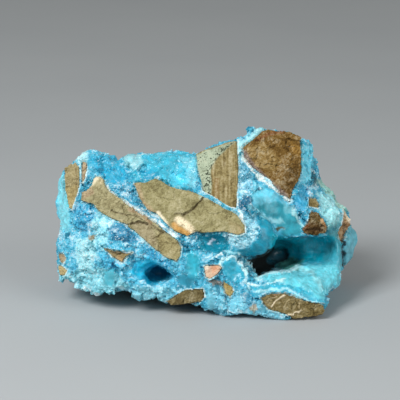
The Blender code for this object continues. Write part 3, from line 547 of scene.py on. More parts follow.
# Small spots of other minerals in the crust, painted like the areas
crustSpots = {
    "brown chip in the left mass": ("#8A7448", 0.95, [(85, 235), (90, 236), (96, 233), (94, 239),
        (89, 240)]),
    "brown spot by the lobe": ("#45452A", 0.95, [(275, 228), (280, 226), (283, 229), (278, 232)]),
    "reddish strip": ("#A08474", 0.9, [(206, 282), (212, 279), (222, 281), (224, 285), (214, 287)]),
    "brown spot by the eye": ("#A08A62", 0.85, [(251, 307), (256, 305), (258, 309), (255, 313),
        (251, 311)]),
    "white fleck": ("#E2ECFA", 0.95, [(208, 243), (213, 239), (216, 240), (211, 244)]),
    "upper wall of the left hollow": ("#22C4E8", 0.9, [(134, 274), (141, 264), (149, 259), (155, 263),
        (148, 270), (141, 277)]),
    "shade in it": ("#04607E", 0.9, [(150, 271), (156, 265), (165, 268), (172, 275), (162, 277)]),
}

# Lines of the front: shade, strength, half width and rise in millimetres, and the corners
crustLines = {
    "left wet edge": ("#DDF3F4", 0.8, 0.5, 0.06, [(60, 280), (72, 284), (82, 288), (90, 294), (100, 294)]),
    "rim of the middle window": ("#C9EEF2", 0.95, 0.6, 0.12, [(220, 268), (222, 260), (230, 256),
        (238, 259), (244, 268), (246, 280), (248, 289)]),
    "second arc": ("#8FD3E0", 0.9, 0.5, 0.1, [(226, 251), (238, 253), (248, 262), (256, 277)]),
    "dark arc": ("#2C7F9C", 0.7, 0.3, -0.2, [(232, 255), (241, 260), (248, 270), (251, 280)]),
    "white spots of the window's rim": ("#F0FBFA", 0.9, 0.6, 0.06, [(216, 256), (222, 254)]),
    "edge of the lip": ("#B9EAF0", 0.9, 0.7, 0.12, [(256, 279), (266, 274), (274, 271), (290, 271),
        (298, 266)]),
    "first band of the lip": ("#D5F3F5", 0.9, 0.6, 0.12, [(249, 284), (262, 286), (278, 281), (284, 279)]),
    "second band of the lip": ("#34AEC8", 0.95, 0.8, -0.2, [(252, 289), (270, 285), (288, 286),
        (312, 294)]),
    "third band of the lip": ("#A6E2EE", 0.9, 0.6, 0.1, [(256, 292), (272, 289), (286, 289), (302, 298),
        (322, 304)]),
    "streak in the bowl": ("#A9E6EC", 0.5, 1.0, 0.07, [(297, 265), (303, 270), (312, 272), (318, 281),
        (321, 290)]),
    "edge of the slab, white": ("#E9F6F4", 0.9, 0.45, 0.06, [(238, 213), (244, 222), (246, 228)]),
    "crack over the lobe": ("#C9ECF2", 0.6, 0.4, 0.03, [(249, 211), (253, 215), (255, 219)]),
    "under the brown rock": ("#ECF2EA", 0.9, 0.5, 0.06, [(243, 157), (250, 168), (260, 178), (272, 187),
        (281, 193), (289, 201)]),
    "under the banded rock": ("#EDE9D6", 0.9, 0.45, 0.03, [(210, 202), (220, 207), (229, 213), (237, 219)]),
    "upper edge of the long rock": ("#EAF4F2", 0.9, 0.5, 0.06, [(104, 184), (114, 194), (128, 204),
        (142, 212), (152, 219), (166, 228), (177, 237)]),
    "lower edge of the slab": ("#E4F0EE", 0.8, 0.35, 0.06, [(141, 208), (150, 211), (158, 219), (168, 229),
        (180, 236)]),
    "split of the foot": ("#12586F", 0.7, 0.3, -0.5, [(225, 287), (225.5, 298), (227, 309)]),
    # a real groove 0.9 mm deep, coloured near black as painted shade
    "gap beside the lump, with painted shade": ("#06222C", 0.95, 0.5, -0.9, [(343, 240), (344, 256), (344, 266)]),
    "shade over the slab": ("#123B48", 0.7, 0.35, -0.3, [(152, 179), (159, 180), (166, 186), (180, 189)]),
    "shade under the left mass": ("#3C97A8", 0.6, 0.5, -0.3, [(84, 269), (90, 274)]),
    "pale rim of the gel": ("#A4DEE6", 0.6, 0.8, 0.06, [(250, 206), (258, 211), (264, 217), (272, 221),
        (281, 221)]),
    "pale foot of the gel": ("#B9E6E6", 0.6, 0.6, 0.06, [(292, 206), (294, 214), (299, 220), (303, 226)]),
}

# Where the broken crust sparkles most: strength and outline
speckleAreas = {
    "vein between the upper rocks": (1.0, [(238, 160), (246, 162), (254, 180), (250, 214), (238, 214)]),
    "under the slab's end": (1.0, [(220, 234), (246, 226), (256, 222), (258, 238), (246, 250), (228, 250)]),
    "over the small hollow": (0.9, [(186, 234), (222, 232), (222, 240), (200, 252), (190, 250)]),
    "below the long rock": (0.9, [(108, 220), (140, 240), (176, 264), (180, 276), (150, 258), (112, 246)]),
    "beside the slab": (0.9, [(106, 182), (136, 182), (142, 206), (132, 204), (112, 192)]),
    "right of the tip": (0.9, [(292, 210), (308, 210), (306, 228), (296, 226)]),
    "under the fin": (0.6, [(70, 204), (110, 206), (108, 240), (70, 240)]),
    "below the triangle": (0.8, [(118, 262), (134, 258), (138, 268), (120, 274)]),
    "left of the middle window": (0.7, [(198, 250), (220, 250), (220, 262), (204, 262)]),
}


# The rock pieces, each grown to close its gap, put together with what is already there
def joinRocks(whole):
    for name in rockNames:
        mesh = meshOf(mergedCopy(name, crustLook["rockGrow"]), "rock")
        whole.from_mesh(mesh)
        bpy.data.meshes.remove(mesh)
    return whole


# For each point of the skin: whether it covers a rock, its way to one in mm, and that spot
def measureRocks(tree, points, ways):
    over = np.zeros(len(points))
    gap = np.zeros(len(points))
    roots = np.zeros((len(points), 3))
    for i, (point, way) in enumerate(zip(points, ways)):
        place = Vector(point)
        found, _, _, distance = tree.find_nearest(place)
        gap[i] = distance / mm
        roots[i] = found
        if distance < crustLook["overReach"] * mm:
            below = place - Vector(way) * crustLook["overDepth"] * mm
            spot, facing, _, _ = tree.find_nearest(below)
            over[i] = 1.0 if (below - spot).dot(facing) < 0.0 else 0.0
    return over, gap, roots


# 1 where the camera sees the front, 0 on the back, the ends and the underside
def frontShare(places):
    return softStep(places[:, 2], *crustLook["front"])


# 0 on the flat feet and close to the table, 1 everywhere else
def bedShare(points):
    return softStep(points[:, 2] / mm, *crustLook["bed"])


def inHollows(seen):
    left, large = [inArea(seen, smoothAreas[name][1], crustLook["skinEdge"])
                   for name in ("left hollow", "large hollow")]
    return np.maximum(left, large)


# 1 on whole skin: where the front is marked so, and in patches on the other sides
def skinShare(seen, places):
    front, share = frontShare(places), np.zeros(len(seen))
    for strength, corners in smoothAreas.values():
        share = np.maximum(share, inArea(seen, corners, crustLook["skinEdge"]) * front * strength)
    swells = np.array([noise.noise(spot) for spot in map(Vector, places / crustLook["patchSize"])])
    return share + softStep(swells, *crustLook["patchLevel"]) * (1.0 - front)


def shapeCrust():
    look = crustLook
    crust = newObject("hemimorphite_fine", meshOf(joinRocks(mergedCopy("hemimorphite")), "hemimorphite_fine"))
    change(crust, "REMESH", mode="VOXEL", voxel_size=look["voxel"] * mm)
    largestBody(crust)
    # softened everywhere, then where the skin is whole, then deep in the hollows
    points, _, places, seen = survey(crust)
    hollow, bed = inHollows(seen), bedShare(points)
    whole = skinShare(seen, places) * bed * (1.0 - hollow)
    deep = hollow * softStep(-places[:, 2], *look["deep"])
    for rounds, weights in zip(look["rounds"], (bed, whole, deep)):
        change(crust, "SMOOTH", weights, factor=0.5, iterations=rounds)
    # thinned most where it is least seen
    rockShell = joinRocks(bmesh.new())
    tree = BVHTree.FromBMesh(rockShell)
    rockShell.free()
    points, ways, places, seen = survey(crust)
    over, _, _ = measureRocks(tree, points, ways)
    back = softStep(-places[:, 2], *look["back"]) * (1.0 - inHollows(seen) * frontShare(places))
    everywhere, moreBack, moreOver = look["thinning"]
    weights = np.clip(everywhere + moreBack * back + moreOver * over, 0.1, 1.0)
    triangles = sum(len(face.vertices) - 2 for face in crust.data.polygons)
    change(crust, "DECIMATE", weights, ratio=min(1.0, look["triangles"] / triangles))
    print("crust skin:", len(crust.data.polygons), "faces")
    # sunk under the rocks, raised round them, marked and painted
    points, ways, places, seen = survey(crust)
    over, gap, roots = measureRocks(tree, points, ways)
    front, bed, bare = frontShare(places), bedShare(points), 1.0 - over
    strayed = waver(seen, places, look["waver"])
    smooth = skinShare(strayed, places)
    speckle = np.full(len(points), look["speckle"])
    for strength, corners in speckleAreas.values():
        speckle = np.maximum(speckle, inArea(seen, corners, look["speckleEdge"]) * front * strength)
    rim = bare * (1.0 - softStep(gap, *look["rim"]))
    height = rim * look["rimLift"] - over * look["sink"] + lineHeight(seen, front, crustLines)
    moveTo(crust.data, points + ways * (height * bed * mm)[:, None])
    shades = paint(plainly(points, look["plain"]), strayed, front, crustAreas, {}, look["areaEdge"])
    shades = paint(shades, strayed, front, crustSpots, crustLines, look["spotEdge"])
    keep(crust.data, smooth=smooth, rough=(1.0 - smooth) * bare * softStep(gap, *look["seam"]) * bed,
         swell=smooth * bare * bed, rockGap=gap, rockRoot=roots, over=over, speckle=speckle, front=front,
         tint=shades)
    return crust


crust = shapeCrust()


# How the crust has broken, as a Geometry Nodes tree over its fine skin

breakage = {
    "shardSize": 6.0, "shardTilt": 0.45, "shardLedge": 1.0,   # large flat breaks, mm
    "facetSize": 2.9, "facetTilt": 0.60, "facetLedge": 0.50,  # cleavage faces of the blades
    "chipSize": 1.2, "chipTilt": 0.35, "chipLedge": 0.10,     # single crystals' ends
    "grain": 0.16,                                            # fine unevenness
    "swelling": 0.7,                                          # slow bulges of the whole skin
}


def breakageTree():
    tree, given = newTree("broken surface", breakage)
    rough, swell = [add(tree, "GeometryNodeInputNamedAttribute", {"Name": name}, data_type="FLOAT")
                    for name in ("rough", "swell")]
    half, reach = (0.5, 0.5, 0.5), (5.0, 5.0, 5.0)    # reach bends the edges of the breaks, mm
    place = add(tree, "ShaderNodeVectorMath",
                {0: add(tree, "GeometryNodeInputPosition"), "Scale": 1.0 / mm}, operation="SCALE")
    wobble = add(tree, "ShaderNodeTexNoise", {"Vector": place, "Scale": 0.25, "Detail": 1.0})
    shift = add(tree, "ShaderNodeVectorMath", {0: wobble.outputs["Color"], 1: half}, operation="SUBTRACT")
    bent = add(tree, "ShaderNodeVectorMath", {0: shift, 1: reach, 2: place}, operation="MULTIPLY_ADD")
    grain = add(tree, "ShaderNodeTexNoise", {"Vector": place, "Scale": 0.9, "Detail": 2.0})
    even = add(tree, "ShaderNodeMath", {0: grain, 1: 0.5}, operation="SUBTRACT")
    total = add(tree, "ShaderNodeMath", {0: even, 1: given["grain"]}, operation="MULTIPLY")
    held = given["Geometry"]
    for kind in ("shard", "facet", "chip"):
        scale = add(tree, "ShaderNodeMath", {0: 1.0, 1: given[kind + "Size"]}, operation="DIVIDE")
        cells = add(tree, "ShaderNodeTexVoronoi", {"Vector": bent, "Scale": scale}).outputs
        local = add(tree, "ShaderNodeVectorMath", {0: bent, 1: cells["Position"]}, operation="SUBTRACT")
        lean = add(tree, "ShaderNodeVectorMath", {0: cells["Color"], 1: half}, operation="SUBTRACT")
        slope = add(tree, "ShaderNodeVectorMath", {0: local, 1: lean}, operation="DOT_PRODUCT")
        parts = add(tree, "ShaderNodeSeparateXYZ", {0: lean}).outputs
        for part, share in ((slope.outputs["Value"], "Tilt"), (parts["Z"], "Ledge")):
            total = add(tree, "ShaderNodeMath", {0: part, 1: given[kind + share], 2: total},
                        operation="MULTIPLY_ADD")
        held = add(tree, "GeometryNodeStoreNamedAttribute",
                   {"Geometry": held, "Name": kind + "Tone", "Value": parts["X"]},
                   data_type="FLOAT", domain="POINT").outputs["Geometry"]
    total = add(tree, "ShaderNodeMath", {0: total, 1: rough}, operation="MULTIPLY")
    waves = add(tree, "ShaderNodeTexNoise", {"Vector": place, "Scale": 0.2, "Detail": 1.0})
    wave = add(tree, "ShaderNodeMath", {0: waves, 1: 0.5}, operation="SUBTRACT")
    swelling = add(tree, "ShaderNodeMath", {0: swell, 1: given["swelling"]}, operation="MULTIPLY")
    total = add(tree, "ShaderNodeMath", {0: wave, 1: swelling, 2: total}, operation="MULTIPLY_ADD")
    metres = add(tree, "ShaderNodeMath", {0: total, 1: mm}, operation="MULTIPLY")
    offset = add(tree, "ShaderNodeVectorMath", {0: add(tree, "GeometryNodeInputNormal"), "Scale": metres},
                 operation="SCALE")
    moved = add(tree, "GeometryNodeSetPosition", {"Geometry": held, "Offset": offset})
    add(tree, "NodeGroupOutput", {"Geometry": moved})
    return tree


brokenSurface = breakageTree()
grow(crust, brokenSurface, breakage)
holdInside(crust)
print("crust broken:", len(crust.data.polygons), "faces")


crustFinish = {
    "dark": "#86B4BC",          # what the darkest blades multiply their colour by
    "light": "#EAFBFB",         # what the palest blades turn to, and how far
    "lightest": 0.62,
    # the white of the blade ends is partly their own white and partly painted glints
    "bladeEndAndGlint": "#E8F8F8",      # ends of blades that catch the light
    "film": "#C2ECF0",          # thin chalky film on whole skin
    "fibre": "#E9F3EA",         # streaks that stand off the rocks
    # the third roughness is for where the large hollow's end is painted near black as shade
    "roughness": (0.42, 0.26, 0.9),    # broken, whole, and in the dark of the large hollow
    # grains to the millimetre, so 1.0 is 1 mm wide and 0.13 is 8 mm
    "blades": 1.0, "needles": 2.1, "ends": 0.8, "relief": 1.6, "clumps": 0.33, "patches": 0.13,
    "bands": 0.3, "filmGrain": 0.45, "skinEdge": 0.5, "streaks": 0.9, "bend": 0.8,
    "bendReach": 1.6,           # how far the grains are bent, mm
    "bumpHeight": 0.3,          # of the relief, mm
}


def crustMaterial():
    # hemimorphite, a zinc silicate: blades grown side by side into round crusts. Where they
    # have broken across it sparkles like coarse sugar in blue and white; where the skin of the
    # crust is whole it is a smooth, waxy, slightly see-through turquoise.
    material, tree = newMaterial("hemimorphite, botryoidal and broken")
    look, place = crustFinish, inMillimetres(tree)
    smooth, rockGap, facets, chips, shards, speckle, front = [
        add(tree, "ShaderNodeAttribute", attribute_name=name).outputs["Fac"]
        for name in ("smooth", "rockGap", "facetTone", "chipTone", "shardTone", "speckle", "front")]
    tint = add(tree, "ShaderNodeAttribute", attribute_name="tint").outputs["Color"]
    root = add(tree, "ShaderNodeAttribute", attribute_name="rockRoot").outputs["Vector"]
    bent = bend(tree, place, look["bend"], 3.0, look["bendReach"])
    blades = add(tree, "ShaderNodeTexVoronoi", {"Vector": bent, "Scale": look["blades"]})
    needles = add(tree, "ShaderNodeTexVoronoi", {"Vector": bent, "Scale": look["needles"]})
    first = add(tree, "ShaderNodeSeparateColor", {0: blades.outputs["Color"]}).outputs[0]
    second = add(tree, "ShaderNodeSeparateColor", {0: needles.outputs["Color"]}).outputs[1]
    patches = add(tree, "ShaderNodeTexNoise",
                  {"Vector": place, "Scale": look["patches"], "Detail": 4.0, "Roughness": 0.6})
    clumps = add(tree, "ShaderNodeTexNoise",
                 {"Vector": bent, "Scale": look["clumps"], "Detail": 2.0, "Roughness": 0.6})
    # the sides that the marks don't reach vary more from patch to patch
    wide = add(tree, "ShaderNodeMapRange", {0: front, 3: 1.5, 4: 0.7})
    fine = add(tree, "ShaderNodeMapRange", {0: speckle, 3: 0.25, 4: 1.0})
    tone = addTones(tree, 0.48, (
        (facets, 0.0, 1.0, 0.4), (chips, 0.0, 1.0, 0.18), (shards, 0.0, 1.0, 0.25), (clumps, 0.5, 1.0, 1.1),
        (first, 0.5, fine, 0.3), (second, 0.5, fine, 0.18), (patches, 0.5, 1.0, wide)))
    broken = shadeBy(tree, tone, tint, (0.15, 0.45), look["dark"], (0.55, 0.95), look["light"],
                     look["lightest"])
    # the blades' white ends: partly white breaks, partly painted glints of light
    ends = add(tree, "ShaderNodeTexVoronoi", {"Vector": bent, "Scale": look["ends"]})
    near = add(tree, "ShaderNodeMapRange", {0: ends.outputs["Distance"], 1: 0.30, 2: 0.12, 3: 0.0, 4: 0.8})
    near = add(tree, "ShaderNodeMath", {0: near, 1: fine}, operation="MULTIPLY")
    broken = add(tree, "ShaderNodeMix", {0: near, 6: broken, 7: look["bladeEndAndGlint"]}, data_type="RGBA")
    # whole skin, faintly banded as it grew
    bands = add(tree, "ShaderNodeTexNoise",
                {"Vector": place, "Scale": look["bands"], "Detail": 3.0, "Distortion": 0.8})
    level = add(tree, "ShaderNodeMapRange", {0: bands, 1: 0.3, 2: 0.7, 3: 0.66, 4: 1.25})
    whole = add(tree, "ShaderNodeVectorMath", {0: tint, "Scale": level}, operation="SCALE")
    film = add(tree, "ShaderNodeTexNoise",
               {"Vector": place, "Scale": look["filmGrain"], "Detail": 5.0, "Roughness": 0.7})
    film = add(tree, "ShaderNodeMapRange", {0: film, 1: 0.5, 2: 0.74, 3: 0.0, 4: 0.22})
    blue = add(tree, "ShaderNodeSeparateColor", {0: tint}).outputs[2]
    lit = add(tree, "ShaderNodeMapRange", {0: blue, 1: 0.3, 2: 0.6})
    film = add(tree, "ShaderNodeMath", {0: film, 1: lit}, operation="MULTIPLY")
    whole = add(tree, "ShaderNodeMix", {0: film, 6: whole, 7: look["film"]}, data_type="RGBA")
    edge = add(tree, "ShaderNodeTexNoise", {"Vector": place, "Scale": look["skinEdge"], "Detail": 3.0})
    ragged = add(tree, "ShaderNodeMath", {0: edge, 1: 0.5}, operation="SUBTRACT")
    ragged = add(tree, "ShaderNodeMath", {0: ragged, 1: 0.9, 2: smooth}, operation="MULTIPLY_ADD")
    share = add(tree, "ShaderNodeMapRange", {0: ragged, 1: 0.38, 2: 0.55})
    mixed = add(tree, "ShaderNodeMix", {0: share, 6: broken, 7: whole}, data_type="RGBA")
    # white fibres that stand off each rock piece, as streaks that run away from it
    roots = add(tree, "ShaderNodeVectorMath", {0: root, "Scale": 1.0 / mm}, operation="SCALE")
    streaks = add(tree, "ShaderNodeTexNoise", {"Vector": roots, "Scale": look["streaks"], "Detail": 3.0})
    reach = add(tree, "ShaderNodeMath", {0: streaks, 1: 1.8, 2: -0.4}, operation="MULTIPLY_ADD")
    lack = add(tree, "ShaderNodeMath", {0: reach, 1: rockGap}, operation="SUBTRACT")
    fibres = add(tree, "ShaderNodeMapRange", {0: lack, 1: -0.15, 2: 0.45, 3: 0.0, 4: 0.7})
    mixed = add(tree, "ShaderNodeMix", {0: fibres, 6: mixed, 7: look["fibre"]}, data_type="RGBA")
    # relief too fine for the mesh: the grain of the blades
    grains = add(tree, "ShaderNodeTexVoronoi", {"Vector": bent, "Scale": look["relief"]})
    grainy = add(tree, "ShaderNodeMath", {0: 1.0, 1: share}, operation="SUBTRACT")
    height = add(tree, "ShaderNodeMath", {0: grains.outputs["Distance"], 1: grainy}, operation="MULTIPLY")
    bump = add(tree, "ShaderNodeBump",
               {"Height": height, "Strength": 0.5, "Distance": look["bumpHeight"] * mm})
    brokenOne, wholeOne, darkOne = look["roughness"]
    gloss = add(tree, "ShaderNodeMapRange", {0: share, 3: brokenOne, 4: wholeOne})
    # rougher where the tint is near black, such as the painted shade at the hollow's end, so that it shows no
    # glints
    gloss = add(tree, "ShaderNodeMapRange", {0: blue, 1: 0.02, 2: 0.15, 3: darkOne, 4: gloss})
    shader = add(tree, "ShaderNodeBsdfPrincipled", {
        "Base Color": mixed, "Roughness": gloss, "Normal": bump, "IOR": 1.61, "Specular IOR Level": 0.3,
        "Subsurface Weight": 0.3, "Subsurface Scale": 0.0015, "Subsurface Radius": (0.35, 1.0, 0.95)})
    add(tree, "ShaderNodeOutputMaterial", {"Surface": shader})
    return material


crustSkin = crustMaterial()
wear(crust, crustSkin, "hemimorphite", "hemimorphite")


# Ends of single crystals that stand out of the broken crust

grit = {
    "perSquareMetre": 300000.0,   # how many
    "size": 1.0,                  # length of the largest, mm
    "seed": 7.0,
}


def gritTree(material):
    tree, given = newTree("crystal ends", grit)
    rough, speckle, front = [add(tree, "GeometryNodeInputNamedAttribute", {"Name": name}, data_type="FLOAT")
                             for name in ("rough", "speckle", "front")]
    sides = add(tree, "ShaderNodeMapRange", {0: front, 3: 0.6, 4: 1.0})
    often = rough
    for share in (speckle, sides, given["perSquareMetre"]):
        often = add(tree, "ShaderNodeMath", {0: often, 1: share}, operation="MULTIPLY")
    seed = add(tree, "FunctionNodeFloatToInt", {0: given["seed"]})
    points = add(tree, "GeometryNodeDistributePointsOnFaces",
                 {"Mesh": given["Geometry"], "Density": often, "Seed": seed})
    lean, spin = 0.7, 3.1    # the most that a crystal is tipped and turned, radians
    turn = add(tree, "FunctionNodeRandomValue",
               {0: (-lean, -lean, -spin), 1: (lean, lean, spin), "Seed": seed}, data_type="FLOAT_VECTOR")
    turn = add(tree, "FunctionNodeEulerToRotation", {0: turn})
    turn = add(tree, "FunctionNodeRotateRotation",
               {"Rotation": points.outputs["Rotation"], "Rotate By": turn}, rotation_space="LOCAL")
    block = add(tree, "GeometryNodeMeshCube", {"Size": (0.6, 1.0, 0.5)})    # parts of its length
    planted = plant(tree, points, block, turn, seed, 0.35, given["size"])
    tone = add(tree, "FunctionNodeRandomValue", {2: -0.6, 3: 0.7, "Seed": seed}, data_type="FLOAT")
    toned = add(tree, "GeometryNodeStoreNamedAttribute",
                {"Geometry": planted, "Name": "chipTone", "Value": tone},
                data_type="FLOAT", domain="INSTANCE")
    finishTree(tree, toned, material)
    return tree


crystalEnds = newObject("hemimorphite_crystal_ends", crust.data.copy())
grow(crystalEnds, gritTree(crustSkin), grit)
holdInside(crystalEnds)
wear(crystalEnds, crustSkin, "hemimorphite")
print("crystal ends:", len(crystalEnds.data.polygons), "faces")


# White fibres that grow out of the seam round each rock piece

fringe = {
    "perSquareMetre": 4500000.0,  # how many
    "length": 0.5,                # mm
    "thickness": 0.3,             # of its foot, as a part of the length
    "near": 0.25,                 # how close to the rock it starts, mm
    "far": 0.8,                   # and how far from it, mm
    "seed": 3.0,
}


def fringeTree(material):
    tree, given = newTree("seam fibres", fringe)
    gap, over = [add(tree, "GeometryNodeInputNamedAttribute", {"Name": name}, data_type="FLOAT")
                 for name in ("rockGap", "over")]
    root, kept = [add(tree, "GeometryNodeInputNamedAttribute", {"Name": name}, data_type="FLOAT_VECTOR")
                  for name in ("rockRoot", "way")]
    place = add(tree, "GeometryNodeInputPosition")
    height = add(tree, "ShaderNodeSeparateXYZ", {0: place}).outputs["Z"]
    clear = add(tree, "ShaderNodeMapRange", {0: height, 1: 1.0 * mm, 2: 4.0 * mm})    # of the table
    closer = add(tree, "ShaderNodeMath", {0: gap, 1: given["far"]}, operation="LESS_THAN")
    further = add(tree, "ShaderNodeMath", {0: gap, 1: given["near"]}, operation="GREATER_THAN")
    bare = add(tree, "ShaderNodeMath", {0: 0.5, 1: over}, operation="GREATER_THAN")
    # tufts, with bare stretches between them
    inMm = add(tree, "ShaderNodeVectorMath", {0: place, "Scale": 1.0 / mm}, operation="SCALE")
    cloud = add(tree, "ShaderNodeTexNoise", {"Vector": inMm, "Scale": 0.35, "Detail": 2.0})
    often = add(tree, "ShaderNodeMapRange", {0: cloud, 1: 0.48, 2: 0.64})
    for share in (closer, further, bare, clear, given["perSquareMetre"]):
        often = add(tree, "ShaderNodeMath", {0: often, 1: share}, operation="MULTIPLY")
    # each leans away from its rock, out of the crust
    away = add(tree, "ShaderNodeVectorMath", {0: place, 1: root}, operation="SUBTRACT")
    away = add(tree, "ShaderNodeVectorMath", {0: away}, operation="NORMALIZE")
    way = add(tree, "ShaderNodeVectorMath",
              {0: away, 1: (2.0, 2.0, 2.0), 2: add(tree, "GeometryNodeInputNormal")},
              operation="MULTIPLY_ADD")
    held = add(tree, "GeometryNodeStoreNamedAttribute",
               {"Geometry": given["Geometry"], "Name": "way", "Value": way},
               data_type="FLOAT_VECTOR", domain="POINT")
    seed = add(tree, "FunctionNodeFloatToInt", {0: given["seed"]})
    points = add(tree, "GeometryNodeDistributePointsOnFaces", {"Mesh": held, "Density": often, "Seed": seed})
    most = 0.35    # how far a fibre strays from its way, as a part of it
    stray = add(tree, "FunctionNodeRandomValue",
                {0: (-most, -most, -most), 1: (most, most, most), "Seed": seed}, data_type="FLOAT_VECTOR")
    aimed = add(tree, "ShaderNodeVectorMath", {0: kept, 1: stray}, operation="ADD")
    turn = add(tree, "FunctionNodeAlignRotationToVector", {"Vector": aimed}, axis="Z")
    needle = add(tree, "GeometryNodeMeshCone",
                 {"Vertices": 4, "Radius Bottom": given["thickness"], "Depth": 1.0})
    finishTree(tree, plant(tree, points, needle, turn, seed, 0.5, given["length"]), material)
    return tree


fibreFinish = {"blue": "#A9D9E0", "white": "#F1F4E8", "cloud": 0.5}    # clouds 2 mm wide


def fibreMaterial():
    # the same mineral as free white fibres: silky, letting light through, a little blue
    material, tree = newMaterial("hemimorphite, white fibres")
    look, place = fibreFinish, inMillimetres(tree)
    clouds = add(tree, "ShaderNodeTexNoise", {"Vector": place, "Scale": look["cloud"], "Detail": 2.0})
    level = add(tree, "ShaderNodeMapRange", {0: clouds, 1: 0.4, 2: 0.62})
    shade = add(tree, "ShaderNodeMix", {0: level, 6: look["blue"], 7: look["white"]}, data_type="RGBA")
    shader = add(tree, "ShaderNodeBsdfPrincipled", {
        "Base Color": shade, "Roughness": 0.45, "IOR": 1.61,
        "Subsurface Weight": 0.3, "Subsurface Scale": 0.0008, "Subsurface Radius": (0.8, 0.9, 1.0)})
    add(tree, "ShaderNodeOutputMaterial", {"Surface": shader})
    return material


whiteFibres = fibreMaterial()
seamFibres = newObject("hemimorphite_seam_fibres", crust.data.copy())
grow(seamFibres, fringeTree(whiteFibres), fringe)
holdInside(seamFibres)
wear(seamFibres, whiteFibres, "hemimorphite")
print("seam fibres:", len(seamFibres.data.polygons), "faces")


# the rock pieces

# Plain colour of each rock piece that the front shows, and of the others by their finish
rockShades = {
    "rock_left_fin": "#9E9169", "rock_small_sliver": "#AB977A", "rock_long_diagonal": "#9C9570",
    "rock_centre_slab": "#928B62", "rock_banded": "#8A7C52", "rock_top_brown": "#765A28",
    "rock_right_chip": "#7C6E44", "rock_rusty_wedge": "#5E4A24", "rock_shoulder_seam": "#9A7A58",
    "rock_veined_eye": "#786A42", "rock_lower_wedge": "#766A46", "rock_bean": "#A08C52",
    "rock_pink_tan": "#CBAA90", "rock_left_triangle": "#8A7A52", "rock_edge_upper": "#A8977A",
    "rock_edge_lower": "#B5A374",
}
hiddenShades = {"tan_rock": "#9C9270", "brown_rock": "#80693F"}

# Colours on the rock faces: shade, strength and outline
rockAreas = {
    "rind of the banded rock": ("#A6B49C", 0.95, [(196, 155), (210, 149), (237, 141), (229, 146),
        (223, 152), (215, 161), (211, 171), (211, 194), (208, 199), (199, 199)]),
    "its brown foot": ("#8A7048", 0.6, [(212, 178), (219, 178), (220, 204), (212, 200)]),
    "dark foot of the brown rock": ("#59431F", 0.6, [(284, 170), (299, 166), (297, 184), (292, 199),
        (282, 190)]),
    "its pale middle": ("#9C8450", 0.5, [(246, 148), (264, 142), (282, 160), (274, 172), (254, 166)]),
    "its ochre side": ("#A6803C", 0.5, [(290, 140), (301, 146), (299, 156), (291, 152)]),
    "foot of the fin": ("#B7A570", 0.6, [(65, 188), (77, 186), (75, 206), (68, 210)]),
    "left end of the long rock": ("#B49C80", 0.6, [(80, 188), (90, 183), (94, 194), (82, 200)]),
    "lower half of it": ("#93866A", 0.6, [(132, 222), (152, 224), (158, 246), (138, 240)]),
    "its foot": ("#9A8E60", 0.6, [(156, 232), (180, 240), (180, 262), (160, 252)]),
    "left edge of the slab": ("#B39A7C", 0.5, [(134, 184), (140, 184), (144, 200), (156, 212), (146, 212)]),
    "tip of the slab": ("#A98F66", 0.5, [(228, 220), (238, 224), (246, 233), (232, 234)]),
    "right half of the slab": ("#968F66", 0.6, [(204, 198), (236, 218), (240, 232), (196, 232),
        (184, 216)]),
    "cream of the pink rock": ("#EFE2CC", 0.85, [(202, 261), (209, 260), (210, 268), (204, 271)]),
    "its orange side": ("#D8946C", 0.6, [(211, 266), (218, 263), (219, 269), (212, 273)]),
    "foot of the wedge": ("#4C2F18", 0.4, [(302, 228), (312, 222), (326, 226), (322, 233), (306, 233)]),
}

